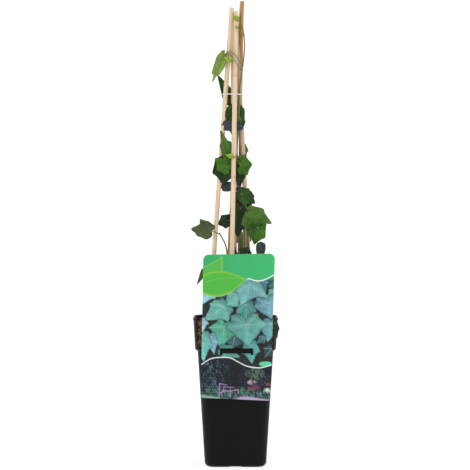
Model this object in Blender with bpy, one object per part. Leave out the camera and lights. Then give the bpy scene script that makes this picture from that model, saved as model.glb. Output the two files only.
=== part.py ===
"""Potted ivy: a square nursery pot with a cut-away collar and a hung label, compost, four canes held
together by a band, and an ivy plant that climbs between them.

The pot's base stands on z = 0 with its middle at the origin. The front faces -Y.
Sizes and places are in millimetres, and MM turns them into metres where a mesh is made.
"""

import math
from collections import namedtuple

import bmesh
import bpy
import numpy as np
from mathutils import Vector

MM = 0.001
GAP = 0.3  # between pieces that touch
CLEAR = 2.0  # how far a cutter runs past what it cuts

# Pot
POT_HEIGHT = 190.0
RIM_HALF = 53.6
COLLAR_HEIGHT = 40.0
COLLAR_TAPER = 2.2  # from the rim in to the collar's foot
LEDGE_WIDTH = 3.3  # from the collar's foot in to the body
LEDGE_HEIGHT = 2.5
BODY_TAPER = 9.1  # from the body's top in to its base
CORNER_RADIUS = 18.0  # at the rim
POT_WALL = 1.5
FLOOR = 3.6
BASE_FILLET = 6.0
CORNER_STEPS = 5
OPENING_INSET = 5.6  # from the rim's side to the cut-away's edge
OPENING_SILL = 3.5  # collar left standing below the cut-away
OPENING_DEPTH = 9.0  # back from the rim's front, into the corners
OPENING_CHAMFER = 2.0
NOTCH_WIDTH = 18.0
NOTCH_HEIGHT = 2.3
NOTCH_DEPTH = 11.0
DRAIN_RADIUS = 4.0
DRAIN_SPACING = 22.0  # from the middle
DRAIN_SIDES = 16

# Label and the tab that it hangs on
TAB_WIDTH = 40.0
TAB_HEIGHT = 4.4
TAB_LENGTH = 7.0
TAB_CENTRE = 1.3
TAB_DROP = 1.0  # from the collar's foot to the tab's middle
LABEL_GAP = 1.2  # from the collar's foot to the label's back
LABEL_THICKNESS = 0.6
LABEL_BOTTOM_WIDTH = 87.6
LABEL_TOP_WIDTH = 90.4
LABEL_LEAN = 4.6  # the top's shift to the right
LABEL_DROP = 61.0  # from the slot's middle to the bottom edge
LABEL_RISE = 122.0  # from the slot's middle to the top edge
LABEL_TOP_SLOPE = 0.75
LABEL_BOTTOM_SLOPE = 1.9
LABEL_CORNERS = (1.0, 4.0, 7.0, 7.0)  # bottom left, bottom right, top right, top left
SLOT_MARGIN = 0.9
SLOT_HOOK = (3.0, 2.2)  # width and depth of the notch at each end of the slot

# Compost
COMPOST_DROP = 6.0  # below the rim
COMPOST_SHOULDER = 2.0  # the surface falls by this at the wall
COMPOST_MOUND = 1.6
SOCKET_DEPTH = 14.0  # for stems
SOCKET_RISE = 12.0  # of the cutters above the surface

# Canes: place in the compost, place at the tie, length above the compost
CANE_RADIUS = 3.0
CANE_SIDES = 14
CANE_FOOT = 55.0  # below the compost's surface
TIE_HEIGHT = 292.0  # above the compost's surface
TIE_RADIUS = 0.6
TIE_SAMPLES = 60
TIE_SIDES = 6

# Stems and leaves
STEM_SIDES = 8
PETIOLE_RADIUS = 0.6
PETIOLE_SIDES = 5
PETIOLE_STEPS = 5
PETIOLE_STRETCH = 0.35  # how straight it leaves the stem and meets the blade
PETIOLE_LIFT = 0.3
LEAF_THICKNESS = 0.7
LOBES = (
    (0.0, 1.0, 0.0),
    (-54.0, 0.72, -2.0),
    (54.0, 0.72, -2.0),
    (-108.0, 0.42, 6.0),
    (108.0, 0.42, 6.0),
)  # angle from the midrib, length, and how much blunter than the main point
LOBE_BLEND = 8
LOBE_FADE = 40.0
CLEFT = 0.6  # share of the blade lost at its foot
CLEFT_SPREAD = 20.0
LEAF_SPOKES = 20

COLLAR_HALF = RIM_HALF - COLLAR_TAPER
BODY_HALF = COLLAR_HALF - LEDGE_WIDTH
BASE_HALF = BODY_HALF - BODY_TAPER
COMPOST_TOP = POT_HEIGHT - COMPOST_DROP
COLLAR_FOOT = POT_HEIGHT - COLLAR_HEIGHT
LEDGE_FOOT = COLLAR_FOOT - LEDGE_HEIGHT
TAB_Z = COLLAR_FOOT - TAB_DROP
LABEL_BACK = -(COLLAR_HALF + LABEL_GAP)
INNER_HALF = RIM_HALF - POT_WALL

# The feet are placed from the pot's walls, and the tops in cane radii from the pot's middle.
Cane = namedtuple("Cane", "foot top length colour")
CANES = {
    "left": Cane((18.0 - INNER_HALF, -8.0), (-1.589, -0.637), 404.0, (0.67, 0.50, 0.30)),
    "front": Cane((-5.8, 28.0 - INNER_HALF), (0.299, -1.611), 399.0, (0.70, 0.55, 0.35)),
    "back": Cane((-12.0, INNER_HALF - 21.0), (3.166, 1.126), 413.0, (0.38, 0.19, 0.06)),
    "right": Cane((INNER_HALF - 29.4, -6.0), (0.044, 0.719), 397.0, (0.50, 0.36, 0.20)),
}

# Each stem: the cane that it follows, points as (height above the compost, offset from the cane),
# and its radius at both ends.
Stem = namedtuple("Stem", "cane points radii colour")
STEMS = {
    "main": Stem(
        "right",
        (
            (0, -10.6, 9.0),
            (76, -4.8, 6.2),
            (130, -3.6, 4.6),
            (168, -9.8, 2.4),
            (188, -8.8, 1.0),
            (221, -7.5, -1.4),
            (246, -4.6, -3.9),
            (272, -2.3, -5.9),
            (292, -0.7, -6.8),
            (311, 2.1, -6.6),
            (330, 5.8, -6.0),
            (350, 9.1, -5.4),
            (363, 9.5, -6.3),
            (376, 8.3, -7.6),
            (386, 4.8, -8.8),
        ),
        (1.5, 0.7),
        (0.10, 0.16, 0.04),
    ),
    "left": Stem(
        "left",
        ((0, 24.0, 2.0), (56, 21.0, 0.0), (94, 15.4, -1.6), (114, 5.0, -5.0)),
        (1.2, 0.8),
        (0.12, 0.18, 0.05),
    ),
    "right_dark": Stem(
        "right",
        ((0, -14.6, -1.0), (76, -10.5, -4.0), (112, -9.4, -5.6)),
        (1.2, 0.9),
        (0.03, 0.05, 0.02),
    ),
    "right_olive": Stem(
        "right",
        ((0, -8.6, -6.0), (76, -6.0, -7.0), (118, -4.7, -8.4)),
        (1.3, 0.9),
        (0.18, 0.19, 0.05),
    ),
    "right_brown": Stem(
        "right",
        ((0, -0.6, -9.0), (76, 0.8, -7.4), (116, 0.0, -8.6)),
        (1.4, 1.0),
        (0.16, 0.08, 0.04),
    ),
    "back": Stem(
        "back",
        ((0, 14.0, -13.0), (116, 12.0, -10.0), (216, 8.0, -7.0), (258, 6.6, -5.4)),
        (1.4, 0.9),
        (0.10, 0.14, 0.04),
    ),
}

# Each leaf: the stem that it grows from and at what height, the anchor and height of the blade's
# foot with its offset, the way to its point, then the blade's width, the half-angle of its points,
# its fold and curl, its facing, its tone, and how far its stalk bows aside.
Leaf = namedtuple(
    "Leaf",
    "name stem root anchor rise offset reach width point fold curl face tone bow",
    defaults=[(0, 0, 0)],
)
LEAVES = (
    Leaf("tip", "main", 384, "front", 388, (3.4, -4.0),
         (-5, -3, 6), 0.8, 36, 0.3, 0.2, "front", "young"),
    Leaf("top_bud", "main", 368, "front", 376, (4.4, -4.6),
         (-6, -2, 3), 0.6, 34, 0.3, 0.2, "front", "young"),
    Leaf("hanging", "main", 330, "left", 340, (-6.0, -6.2),
         (-14, -2, -35), 0.27, 34, 0.5, 0.4, "front", "mid", (0, -12, 9)),
    Leaf("young_left", "main", 322, "left", 335, (4.0, -10.0),
         (-9, -2, 4), 0.7, 34, 0.3, 0.2, "front", "bright", (0, -7, 4)),
    Leaf("above_tie", "main", 286, "left", 292, (5.4, 4.9),
         (-15, 2, 31), 0.28, 32, 0.2, 0.1, "front", "dark", (0, 4, 0)),
    Leaf("upper_mid", "main", 284, "front", 277, (0.4, 7.0),
         (-3, 0, -23), 0.65, 38, 0.1, 0.1, "front", "dark"),
    Leaf("sheen_band", "main", 262, "front", 256, (6.0, 3.8),
         (-22, -0.9, -2), 0.5, 40, 0.0, 0.1, "front", "sheen"),
    Leaf("long_left", "main", 205, "front", 213, (-6.5, 5.8),
         (-12, -3, 38), 0.4, 34, 0.1, 0.1, "front", "mid"),
    Leaf("young_mid", "main", 212, "front", 208, (-1.8, -4.9),
         (-9, -1, 4), 0.7, 34, 0.3, 0.2, "front", "young", (10, -4, 0)),
    Leaf("lobed_left", "main", 186, "left", 194, (7.4, -8.0),
         (-16, -4, 15), 0.75, 34, 0.1, 0.2, "front", "bright"),
    Leaf("dark_left", "main", 176, "left", 196, (1.4, -4.6),
         (-2, 0, -22), 0.72, 36, 0.1, 0.1, "front", "dark"),
    Leaf("glossy_right", "main", 205, "right", 197, (-4.2, -8.6),
         (14, -4, 3), 1.3, 36, 0.1, 0.3, "front", "bright", (0, -4, 4)),
    Leaf("lower_right", "main", 202, "right", 194, (-7.0, -4.4),
         (6, 0, -21), 0.5, 38, 0.0, 0.05, "front", "dark", (0, 1, 0)),
    Leaf("grey_band", "main", 166, "front", 171, (3.0, 12.4),
         (-18, 1, -1), 0.75, 38, 0.1, 0.1, "front", "sheen"),
    Leaf("dark_right", "main", 164, "right", 164, (-5.6, -6.6),
         (18, -3, -13), 0.75, 40, 0.1, 0.2, "front", "dark"),
    Leaf("broad_right", "main", 160, "right", 141, (3.6, -11.4),
         (28, -6, -15), 0.75, 36, 0.1, 0.2, "front", "bright"),
    Leaf("dark_centre", "main", 136, "front", 142, (10.4, 10.2),
         (-5, -1, -32), 0.55, 40, 0.1, 0.1, "front", "dark"),
    Leaf("vivid_right", "right_brown", 108, "right", 122, (14.0, -10.4),
         (-6, -2, -24), 0.85, 36, 0.1, 0.2, "front", "bright"),
    Leaf("lower_mid", "right_olive", 114, "right", 133, (2.0, -8.4),
         (1, 0, -19), 0.8, 38, 0.1, 0.1, "front", "mid", (0, 0, 3)),
    Leaf("glossy_left", "main", 128, "left", 131, (16.0, 2.6),
         (-15, -1, -8), 0.9, 36, 0.2, 0.4, "front", "dark"),
    Leaf("far_left", "left", 112, "left", 117, (-6.0, -5.4),
         (-23, -3, 3), 1.0, 26, 0.1, 0.2, "front", "mid"),
    Leaf("small_dark", "right_olive", 74, "right", 86, (-1.0, -13.4),
         (-11, -1, 9), 0.9, 36, 0.1, 0.2, "front", "dark"),
    Leaf("behind_label", "left", 66, "front", 78, (4.4, 7.0),
         (-1, 0, 19), 0.4, 36, 0.1, 0.1, "front", "dark"),
    Leaf("grey_right", "right_brown", 72, "right", 82, (11.4, -17.0),
         (4, -4, 21), 0.6, 38, 0.1, 0.2, "front", "sheen"),
    Leaf("label_left", "left", 44, "wall", 68, (-37.0, 8.0),
         (-12, -1, -19), 0.6, 34, 0.1, 0.1, "front", "mid"),
    Leaf("over_rim", "right_brown", 10, "corner", 1, (-3.4, 0.8),
         (3.6, 1, -17), 0.5, 36, 0.0, 0.1, "front", "dark", (0, 0, 10)),
    Leaf("low_left", "left", 40, "left", 30, (8.0, -12.0),
         (-12, -10, -12), 0.9, 36, 0.1, 0.2, "front", "dark"),
    Leaf("low_right", "right_olive", 30, "right", 40, (4.0, -14.0),
         (14, -12, -12), 0.9, 36, 0.1, 0.2, "front", "mid"),
    Leaf("low_front", "right_dark", 14, "wall", 20, (8.0, 18.0),
         (-4, -13, -8), 0.8, 36, 0.1, 0.2, "front", "dark"),
    Leaf("back_low", "back", 20, "back", 24, (22.0, 8.0),
         (10, 12, -12), 0.9, 36, 0.1, 0.3, "back", "dark"),
    Leaf("back_left", "back", 50, "back", 54, (-14.0, 0.0),
         (-18, 10, -12), 0.9, 36, 0.1, 0.3, "back", "mid", (0, -7, 4)),
    Leaf("back_right", "back", 70, "back", 74, (24.0, -4.0),
         (20, 12, -8), 0.9, 36, 0.1, 0.3, "back", "dark"),
    Leaf("back_centre", "back", 104, "back", 112, (16.0, 6.0),
         (2, 12, -22), 0.7, 36, 0.1, 0.3, "back", "bright"),
    Leaf("side_right", "back", 128, "back", 134, (24.0, -4.0),
         (22, 8, -10), 0.9, 36, 0.1, 0.3, "back", "mid"),
    Leaf("back_mid", "back", 158, "back", 166, (16.0, 5.0),
         (8, 10, -20), 0.7, 36, 0.1, 0.3, "back", "dark"),
    Leaf("back_upper_left", "back", 196, "back", 202, (-9.0, 3.0),
         (-16, 6, -8), 0.8, 36, 0.1, 0.3, "back", "mid", (0, -7, 3)),
    Leaf("back_upper_right", "back", 216, "back", 226, (10.0, 5.0),
         (4, 9, -15), 0.6, 36, 0.1, 0.3, "back", "bright"),
    Leaf("back_top", "back", 256, "back", 264, (5.0, 6.0),
         (1, 6, -17), 0.6, 36, 0.1, 0.2, "back", "dark"),
)
FACES = {"front": (0, -1, 0.1), "back": (0, 1, 0.4)}
TONES = {
    "dark": (0.015, 0.05, 0.015),
    "mid": (0.05, 0.13, 0.02),
    "bright": (0.08, 0.22, 0.02),
    "young": (0.28, 0.40, 0.04),
    "sheen": (0.04, 0.06, 0.06),
}


def clear_scene():
    for obj in list(bpy.data.objects):
        bpy.data.objects.remove(obj)


def plain_material(name, colour, roughness, metallic=0.0):
    material = bpy.data.materials.new(name)
    material.use_nodes = True
    shader = material.node_tree.nodes["Principled BSDF"]
    shader.inputs["Base Color"].default_value = (*colour, 1.0)
    shader.inputs["Roughness"].default_value = roughness
    shader.inputs["Metallic"].default_value = metallic
    material.diffuse_color = (*colour, 1.0)
    return material


def add_solid(name, points, faces, smooth=False):
    """A mesh object from points in millimetres, with its faces turned outward."""
    mesh = bpy.data.meshes.new(name)
    mesh.from_pydata([tuple(c * MM for c in p) for p in points], [], faces)
    work = bmesh.new()
    work.from_mesh(mesh)
    bmesh.ops.recalc_face_normals(work, faces=work.faces)
    work.to_mesh(mesh)
    work.free()
    mesh.polygons.foreach_set("use_smooth", [smooth] * len(mesh.polygons))
    obj = bpy.data.objects.new(name, mesh)
    bpy.context.collection.objects.link(obj)
    return obj


def add_cutter(name, points, faces):
    cutter = add_solid(name, points, faces)
    cutter.hide_render = True
    cutter.display_type = "WIRE"
    return cutter


def combine(obj, other, operation):
    modifier = obj.modifiers.new(other.name, "BOOLEAN")
    modifier.operation = operation
    modifier.object = other
    modifier.solver = "EXACT"


def lofted(rings):
    """Points and faces of a solid through closed rings with the same number of points."""
    points = [point for ring in rings for point in ring]
    count = len(rings[0])
    faces = [tuple(range(count)), tuple(range(len(points) - count, len(points)))]
    for level in range(len(rings) - 1):
        low, high = level * count, (level + 1) * count
        for i in range(count):
            j = (i + 1) % count
            faces.append((low + i, low + j, high + j, high + i))
    return points, faces


def prism(outline, front, back):
    """Points and faces of an outline in x and z, drawn out along y."""
    return lofted([[(x, y, z) for x, z in outline] for y in (front, back)])


def swept(path, radii, sides):
    """Points and faces of a round tube along a path of Vectors."""
    rings = []
    side = (path[-1] - path[0]).orthogonal()
    for i, point in enumerate(path):
        along = (path[min(i + 1, len(path) - 1)] - path[max(i - 1, 0)]).normalized()
        side = (side - along * side.dot(along)).normalized()
        across = along.cross(side)
        turns = [2 * math.pi * k / sides for k in range(sides)]
        spokes = [math.cos(a) * side + math.sin(a) * across for a in turns]
        rings.append([tuple(point + radii[i] * spoke) for spoke in spokes])
    return lofted(rings)


# --- pot -------------------------------------------------------------------------------------------


def rounded_square(half, radius, z):
    ring = []
    for quarter in range(4):
        start = quarter * math.pi / 2
        middle = start + math.pi / 4
        centre_x = math.copysign(half - radius, math.cos(middle))
        centre_y = math.copysign(half - radius, math.sin(middle))
        for step in range(CORNER_STEPS + 1):
            angle = start + step / CORNER_STEPS * math.pi / 2
            ring.append((centre_x + radius * math.cos(angle), centre_y + radius * math.sin(angle), z))
    return ring


def wall_profile(inset, lift):
    """(half width, height) from the body's foot to the rim, moved in and up for the inner faces."""
    profile = ((BODY_HALF, LEDGE_FOOT), (COLLAR_HALF, COLLAR_FOOT), (RIM_HALF, POT_HEIGHT))
    return [(half - inset, z + lift) for half, z in profile]


def wall_half(z, inset):
    """Half width of the tapered body at height z."""
    share = z / LEDGE_FOOT
    return BASE_HALF + (BODY_HALF - BASE_HALF) * share - inset


def ring_of(half, inset, z):
    """A level ring of the pot, whose corners shrink with its width."""
    radius = CORNER_RADIUS * (half + inset) / RIM_HALF - inset
    return rounded_square(half, radius, z)


def build_pot():
    rings = []
    for step in range(4):
        angle = step / 3 * math.pi / 2
        z = BASE_FILLET * (1 - math.cos(angle))
        inset = BASE_FILLET * (1 - math.sin(angle))
        rings.append(ring_of(wall_half(z, inset), inset, z))
    rings += [ring_of(half, 0.0, z) for half, z in wall_profile(0.0, 0.0)]
    inner = wall_profile(POT_WALL, 0.0)
    rings.append(ring_of(inner[2][0], POT_WALL, inner[2][1]))
    rings.append(ring_of(inner[1][0], POT_WALL, inner[1][1] + POT_WALL / 3))
    rings.append(ring_of(inner[0][0], POT_WALL, inner[0][1] + POT_WALL / 3))
    rings.append(ring_of(wall_half(FLOOR, POT_WALL), POT_WALL, FLOOR))
    pot = add_solid("pot", *lofted(rings))

    side = RIM_HALF - OPENING_INSET
    sill = COLLAR_FOOT + OPENING_SILL
    top = POT_HEIGHT + CLEAR
    opening = [
        (-side, sill + OPENING_CHAMFER),
        (-side + OPENING_CHAMFER, sill),
        (side - OPENING_CHAMFER, sill),
        (side, sill + OPENING_CHAMFER),
        (side, top),
        (-side, top),
    ]
    cutter = prism(opening, -RIM_HALF - CLEAR, -RIM_HALF + OPENING_DEPTH)
    combine(pot, add_cutter("collar_opening", *cutter), "DIFFERENCE")

    half = NOTCH_WIDTH / 2
    notch = [
        (-half, -CLEAR),
        (half, -CLEAR),
        (half - NOTCH_HEIGHT, NOTCH_HEIGHT),
        (NOTCH_HEIGHT - half, NOTCH_HEIGHT),
    ]
    for quarter in range(4):
        cutter = prism(notch, -BASE_HALF - CLEAR, -BASE_HALF + NOTCH_DEPTH)
        cutter = add_cutter(f"drain_notch_{quarter}", *cutter)
        cutter.rotation_euler.z = quarter * math.pi / 2
        combine(pot, cutter, "DIFFERENCE")
    for quarter in range(4):
        angle = quarter * math.pi / 2 + math.pi / 4
        middle = Vector((math.cos(angle), math.sin(angle), 0.0)) * DRAIN_SPACING
        path = [middle + Vector((0, 0, z)) for z in (-CLEAR, FLOOR + CLEAR)]
        cutter = add_cutter(f"drain_hole_{quarter}", *swept(path, [DRAIN_RADIUS] * 2, DRAIN_SIDES))
        combine(pot, cutter, "DIFFERENCE")

    low, high = TAB_Z - TAB_HEIGHT / 2, TAB_Z + TAB_HEIGHT / 2
    left, right = TAB_CENTRE - TAB_WIDTH / 2, TAB_CENTRE + TAB_WIDTH / 2
    tab = [(left, low), (right, low), (right, high), (left, high)]
    root = -(COLLAR_HALF - POT_WALL / 2)
    combine(pot, add_cutter("label_tab", *prism(tab, root - TAB_LENGTH, root)), "UNION")
    pot.data.materials.append(plain_material("black_plastic", (0.012, 0.012, 0.013), 0.42))


# --- label -----------------------------------------------------------------------------------------


def rounded_outline(corners, radii, steps=4):
    """The outline through convex corners, each one rounded by an arc."""
    outline = []
    for i, corner in enumerate(corners):
        here = Vector(corner)
        back = (Vector(corners[i - 1]) - here).normalized()
        ahead = (Vector(corners[(i + 1) % len(corners)]) - here).normalized()
        half_angle = math.acos(back.dot(ahead)) / 2
        reach = radii[i] / math.tan(half_angle)
        centre = here + (back + ahead).normalized() * radii[i] / math.sin(half_angle)
        first, last = here + back * reach - centre, here + ahead * reach - centre
        for step in range(steps + 1):
            way = first.slerp(last, step / steps).normalized()
            outline.append(tuple(centre + way * radii[i]))
    return outline


def build_label():
    bottom, top = TAB_Z - LABEL_DROP, TAB_Z + LABEL_RISE
    corners = (
        (-LABEL_BOTTOM_WIDTH / 2, bottom + LABEL_BOTTOM_SLOPE),
        (LABEL_BOTTOM_WIDTH / 2, bottom - LABEL_BOTTOM_SLOPE),
        (LABEL_LEAN + LABEL_TOP_WIDTH / 2, top + LABEL_TOP_SLOPE),
        (LABEL_LEAN - LABEL_TOP_WIDTH / 2, top - LABEL_TOP_SLOPE),
    )
    outline = rounded_outline(corners, LABEL_CORNERS)
    front = LABEL_BACK - LABEL_THICKNESS
    label = add_solid("label", *prism(outline, front, LABEL_BACK))

    half_x, half_z = TAB_WIDTH / 2 + SLOT_MARGIN, TAB_HEIGHT / 2 + SLOT_MARGIN
    hook, depth = SLOT_HOOK
    slot = [
        (-half_x, half_z),
        (-half_x, -half_z - depth),
        (-half_x + hook, -half_z - depth),
        (-half_x + hook, -half_z),
        (half_x - hook, -half_z),
        (half_x - hook, -half_z - depth),
        (half_x, -half_z - depth),
        (half_x, half_z),
    ]
    slot = [(x + TAB_CENTRE, z + TAB_Z) for x, z in slot]
    cutter = add_cutter("label_slot", *prism(slot, front - CLEAR, LABEL_BACK + CLEAR))
    combine(label, cutter, "DIFFERENCE")
    label.data.materials.append(plain_material("printed_plastic", (0.06, 0.40, 0.19), 0.35))


# --- canes and tie ---------------------------------------------------------------------------------


def cane_point(name, rise):
    """A point on a cane's centre line, at a height above the compost."""
    cane = CANES[name]
    foot, top = Vector(cane.foot), Vector(cane.top) * CANE_RADIUS
    at = foot + (top - foot) * rise / cane.length
    return Vector((at.x, at.y, COMPOST_TOP + rise))


def cane_foot():
    """How deep the canes go: to their set depth, or to where the floor stops them."""
    return min(CANE_FOOT, COMPOST_TOP - FLOOR - 4 * GAP)


def build_canes():
    for name, cane in CANES.items():
        path = [cane_point(name, rise) for rise in (-cane_foot(), cane.length)]
        obj = add_solid(f"cane_{name}", *swept(path, [CANE_RADIUS] * 2, CANE_SIDES))
        obj.data.materials.append(plain_material(f"bamboo_{name}", cane.colour, 0.55))


def build_tie():
    """A loop drawn tight round the canes and the main stem."""
    rounds = [(cane_point(name, TIE_HEIGHT).xy, CANE_RADIUS) for name in CANES]
    rounds.append((stem_point("main", TIE_HEIGHT).xy, STEMS["main"].radii[0]))
    path = []
    for k in range(TIE_SAMPLES):
        angle = 2 * math.pi * k / TIE_SAMPLES
        way = Vector((math.cos(angle), math.sin(angle)))
        reaches = [centre + way * (radius + GAP + TIE_RADIUS) for centre, radius in rounds]
        at = max(reaches, key=way.dot)
        if not path or (at - path[-1]).length > TIE_RADIUS:
            path.append(at)
    rings = []
    for i, at in enumerate(path):
        along = path[(i + 1) % len(path)] - path[i - 1]
        out = Vector((along.y, -along.x)).normalized()
        turns = [2 * math.pi * k / TIE_SIDES for k in range(TIE_SIDES)]
        ring = [(at + out * TIE_RADIUS * math.cos(a), TIE_RADIUS * math.sin(a)) for a in turns]
        rings.append([(flat.x, flat.y, COMPOST_TOP + TIE_HEIGHT + up) for flat, up in ring])
    points, faces = lofted(rings + [rings[0]])
    count = len(points) - TIE_SIDES
    faces = [tuple(i % count for i in face) for face in faces[2:]]
    tie = add_solid("cane_tie", points[:count], faces, smooth=True)
    tie.data.materials.append(plain_material("white_elastic", (0.75, 0.76, 0.78), 0.5))


# --- plant -----------------------------------------------------------------------------------------


def smooth_path(points, steps):
    """A Catmull-Rom curve through the points."""
    ends = [points[0] * 2 - points[1], *points, points[-1] * 2 - points[-2]]
    path = []
    for a, b, c, d in zip(ends, ends[1:], ends[2:], ends[3:]):
        for k in range(steps):
            t = k / steps
            bend = (2 * a - 5 * b + 4 * c - d) * t * t + (3 * b - a - 3 * c + d) * t**3
            path.append((2 * b + (c - a) * t + bend) / 2)
    return path + [points[-1]]


def stem_path(name):
    stem = STEMS[name]
    points = [cane_point(stem.cane, rise) + Vector((x, y, 0.0)) for rise, x, y in stem.points]
    return smooth_path(points, 3)


def stem_point(name, rise):
    """The place on a stem's centre line at a height above the compost."""
    path = stem_path(name)
    heights = [point.z - COMPOST_TOP for point in path]
    return Vector([float(np.interp(rise, heights, axis)) for axis in zip(*path)])


def build_stems():
    for name, stem in STEMS.items():
        path = stem_path(name)
        path = [path[0] - Vector((0.0, 0.0, SOCKET_DEPTH))] + path
        radii = np.linspace(stem.radii[0], stem.radii[1], len(path)).tolist()
        obj = add_solid(f"stem_{name}", *swept(path, radii, STEM_SIDES), smooth=True)
        obj.data.materials.append(plain_material(f"bark_{name}", stem.colour, 0.6))


def build_compost():
    inset = POT_WALL + GAP
    foot = FLOOR + GAP
    rings = [ring_of(wall_half(foot, inset), inset, foot)]
    body, collar, rim = wall_profile(inset, 0.0)
    lift = POT_WALL / 3 + GAP
    rings.append(ring_of(body[0], inset, body[1] + lift))
    rings.append(ring_of(collar[0], inset, collar[1] + lift))
    share = (COMPOST_TOP - collar[1]) / (rim[1] - collar[1])
    top = collar[0] + (rim[0] - collar[0]) * share
    for width, rise in ((1.0, -COMPOST_SHOULDER), (0.6, 0.0), (0.25, COMPOST_MOUND)):
        rings.append(ring_of(top * width, inset, COMPOST_TOP + rise))
    compost = add_solid("compost", *lofted(rings))
    for name in CANES:
        path = [cane_point(name, rise) for rise in (-cane_foot() - GAP, SOCKET_RISE)]
        cutter = add_cutter(f"socket_cane_{name}", *swept(path, [CANE_RADIUS + GAP] * 2, CANE_SIDES))
        combine(compost, cutter, "DIFFERENCE")
    for name in STEMS:
        surface = stem_path(name)[0]
        path = [surface - Vector((0.0, 0.0, SOCKET_DEPTH + GAP)), surface, stem_point(name, SOCKET_RISE)]
        radii = [STEMS[name].radii[0] + GAP] * 3
        cutter = add_cutter(f"socket_stem_{name}", *swept(path, radii, STEM_SIDES))
        combine(compost, cutter, "DIFFERENCE")
    compost.data.materials.append(plain_material("compost", (0.035, 0.018, 0.009), 0.95))


def lobe_reach(angle, point):
    """The blade's edge, as a share of its length, at an angle from the midrib: pointed lobes blended.

    Each lobe has straight sides out to where they run square to the way from the foot, and fades
    past there.
    """
    total = 0.0
    for centre, length, blunter in LOBES:
        off = abs((angle - centre + 180.0) % 360.0 - 180.0)
        half_tip = point + blunter
        past = max(off + half_tip - 90.0, 0.0)
        side = math.sin(math.radians(min(off + half_tip, 90.0)))
        edge = length * math.sin(math.radians(half_tip)) / side * math.exp(-((past / LOBE_FADE) ** 2))
        total += edge**LOBE_BLEND
    cleft = 1.0 - CLEFT * math.exp(-(((abs(angle) - 180.0) / CLEFT_SPREAD) ** 2))
    return total ** (1 / LOBE_BLEND) * cleft


def leaf_axes(leaf):
    """The blade's directions: across, along the midrib, and out of its upper face."""
    along = Vector(leaf.reach).normalized()
    face = Vector(FACES[leaf.face])
    out = (face - along * face.dot(along)).normalized()
    return along.cross(out), along, out


def leaf_foot(leaf):
    x, y = leaf.offset
    if leaf.anchor == "wall":
        return Vector((x, y - INNER_HALF, COMPOST_TOP + leaf.rise))
    if leaf.anchor == "corner":
        return Vector((x + INNER_HALF, y - INNER_HALF, COMPOST_TOP + leaf.rise))
    return cane_point(leaf.anchor, leaf.rise) + Vector((x, y, 0.0))


def blade(leaf):
    """Points and faces of the lobed blade: two sheets of rings round its foot, joined at the edge."""
    size = Vector(leaf.reach).length
    across, along, out = leaf_axes(leaf)
    foot = leaf_foot(leaf)

    def place(u, v, w):
        turn = leaf.curl * v / size
        bent_v = size / leaf.curl * math.sin(turn)
        bent_w = w + leaf.fold * abs(u) - size / leaf.curl * (1 - math.cos(turn))
        return tuple(foot + across * u + along * bent_v + out * bent_w)

    sheets = []
    angles = [-180.0 + 360.0 * k / LEAF_SPOKES for k in range(LEAF_SPOKES)]
    for w in (-LEAF_THICKNESS / 2, LEAF_THICKNESS / 2):
        points = [place(0.0, 0.0, w)]
        for share in (0.5, 1.0):
            for angle in angles:
                reach = lobe_reach(angle, leaf.point) * size * share
                turn = math.radians(angle)
                points.append(place(reach * math.sin(turn) * leaf.width, reach * math.cos(turn), w))
        sheets.append(points)
    count = len(sheets[0])
    faces = []
    for k in range(LEAF_SPOKES):
        j = (k + 1) % LEAF_SPOKES
        inner, outer = (1 + k, 1 + j), (1 + LEAF_SPOKES + k, 1 + LEAF_SPOKES + j)
        for base in (0, count):
            faces.append((base, base + inner[0], base + inner[1]))
            faces.append((base + inner[0], base + outer[0], base + outer[1], base + inner[1]))
        faces.append((*outer, count + outer[1], count + outer[0]))
    return sheets[0] + sheets[1], faces


def petiole(leaf):
    """The stalk from the stem's side to the blade's foot, as points and faces."""
    along = leaf_axes(leaf)[1]
    foot = leaf_foot(leaf)
    stem = stem_point(leaf.stem, leaf.root)
    away = Vector((foot.x - stem.x, foot.y - stem.y, 0.0)).normalized()
    start = stem + away * (STEMS[leaf.stem].radii[0] + PETIOLE_RADIUS + GAP)
    stretch = (foot - start).length * PETIOLE_STRETCH
    bow = Vector(leaf.bow)
    first = start + (away + Vector((0.0, 0.0, PETIOLE_LIFT))).normalized() * stretch + bow
    second = foot - (along + away).normalized() * stretch + bow
    path = []
    for k in range(PETIOLE_STEPS + 1):
        t = k / PETIOLE_STEPS
        near = start * (1 - t) ** 3 + first * 3 * t * (1 - t) ** 2
        path.append(near + second * 3 * t * t * (1 - t) + foot * t**3)
    path.append(foot + along * PETIOLE_RADIUS * 2)
    return swept(path, [PETIOLE_RADIUS] * len(path), PETIOLE_SIDES)


def build_leaves():
    for leaf in LEAVES:
        obj = add_solid(f"leaf_{leaf.name}", *blade(leaf), smooth=True)
        combine(obj, add_cutter(f"petiole_{leaf.name}", *petiole(leaf)), "UNION")
        obj.data.materials.append(plain_material(f"leaf_{leaf.name}", TONES[leaf.tone], 0.4))


def main():
    clear_scene()
    build_pot()
    build_compost()
    build_label()
    build_canes()
    build_tie()
    build_stems()
    build_leaves()


main()
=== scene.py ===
"""Looks for the potted ivy: fine lobed leaves, stems, bamboo canes, a moulded pot, coir compost and a
printed label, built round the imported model.

Sizes and places are in millimetres in the part's frame (base on z = 0, front towards -Y), and MM
turns them into metres where a mesh is made.
"""

from collections import namedtuple
from itertools import combinations

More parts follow.
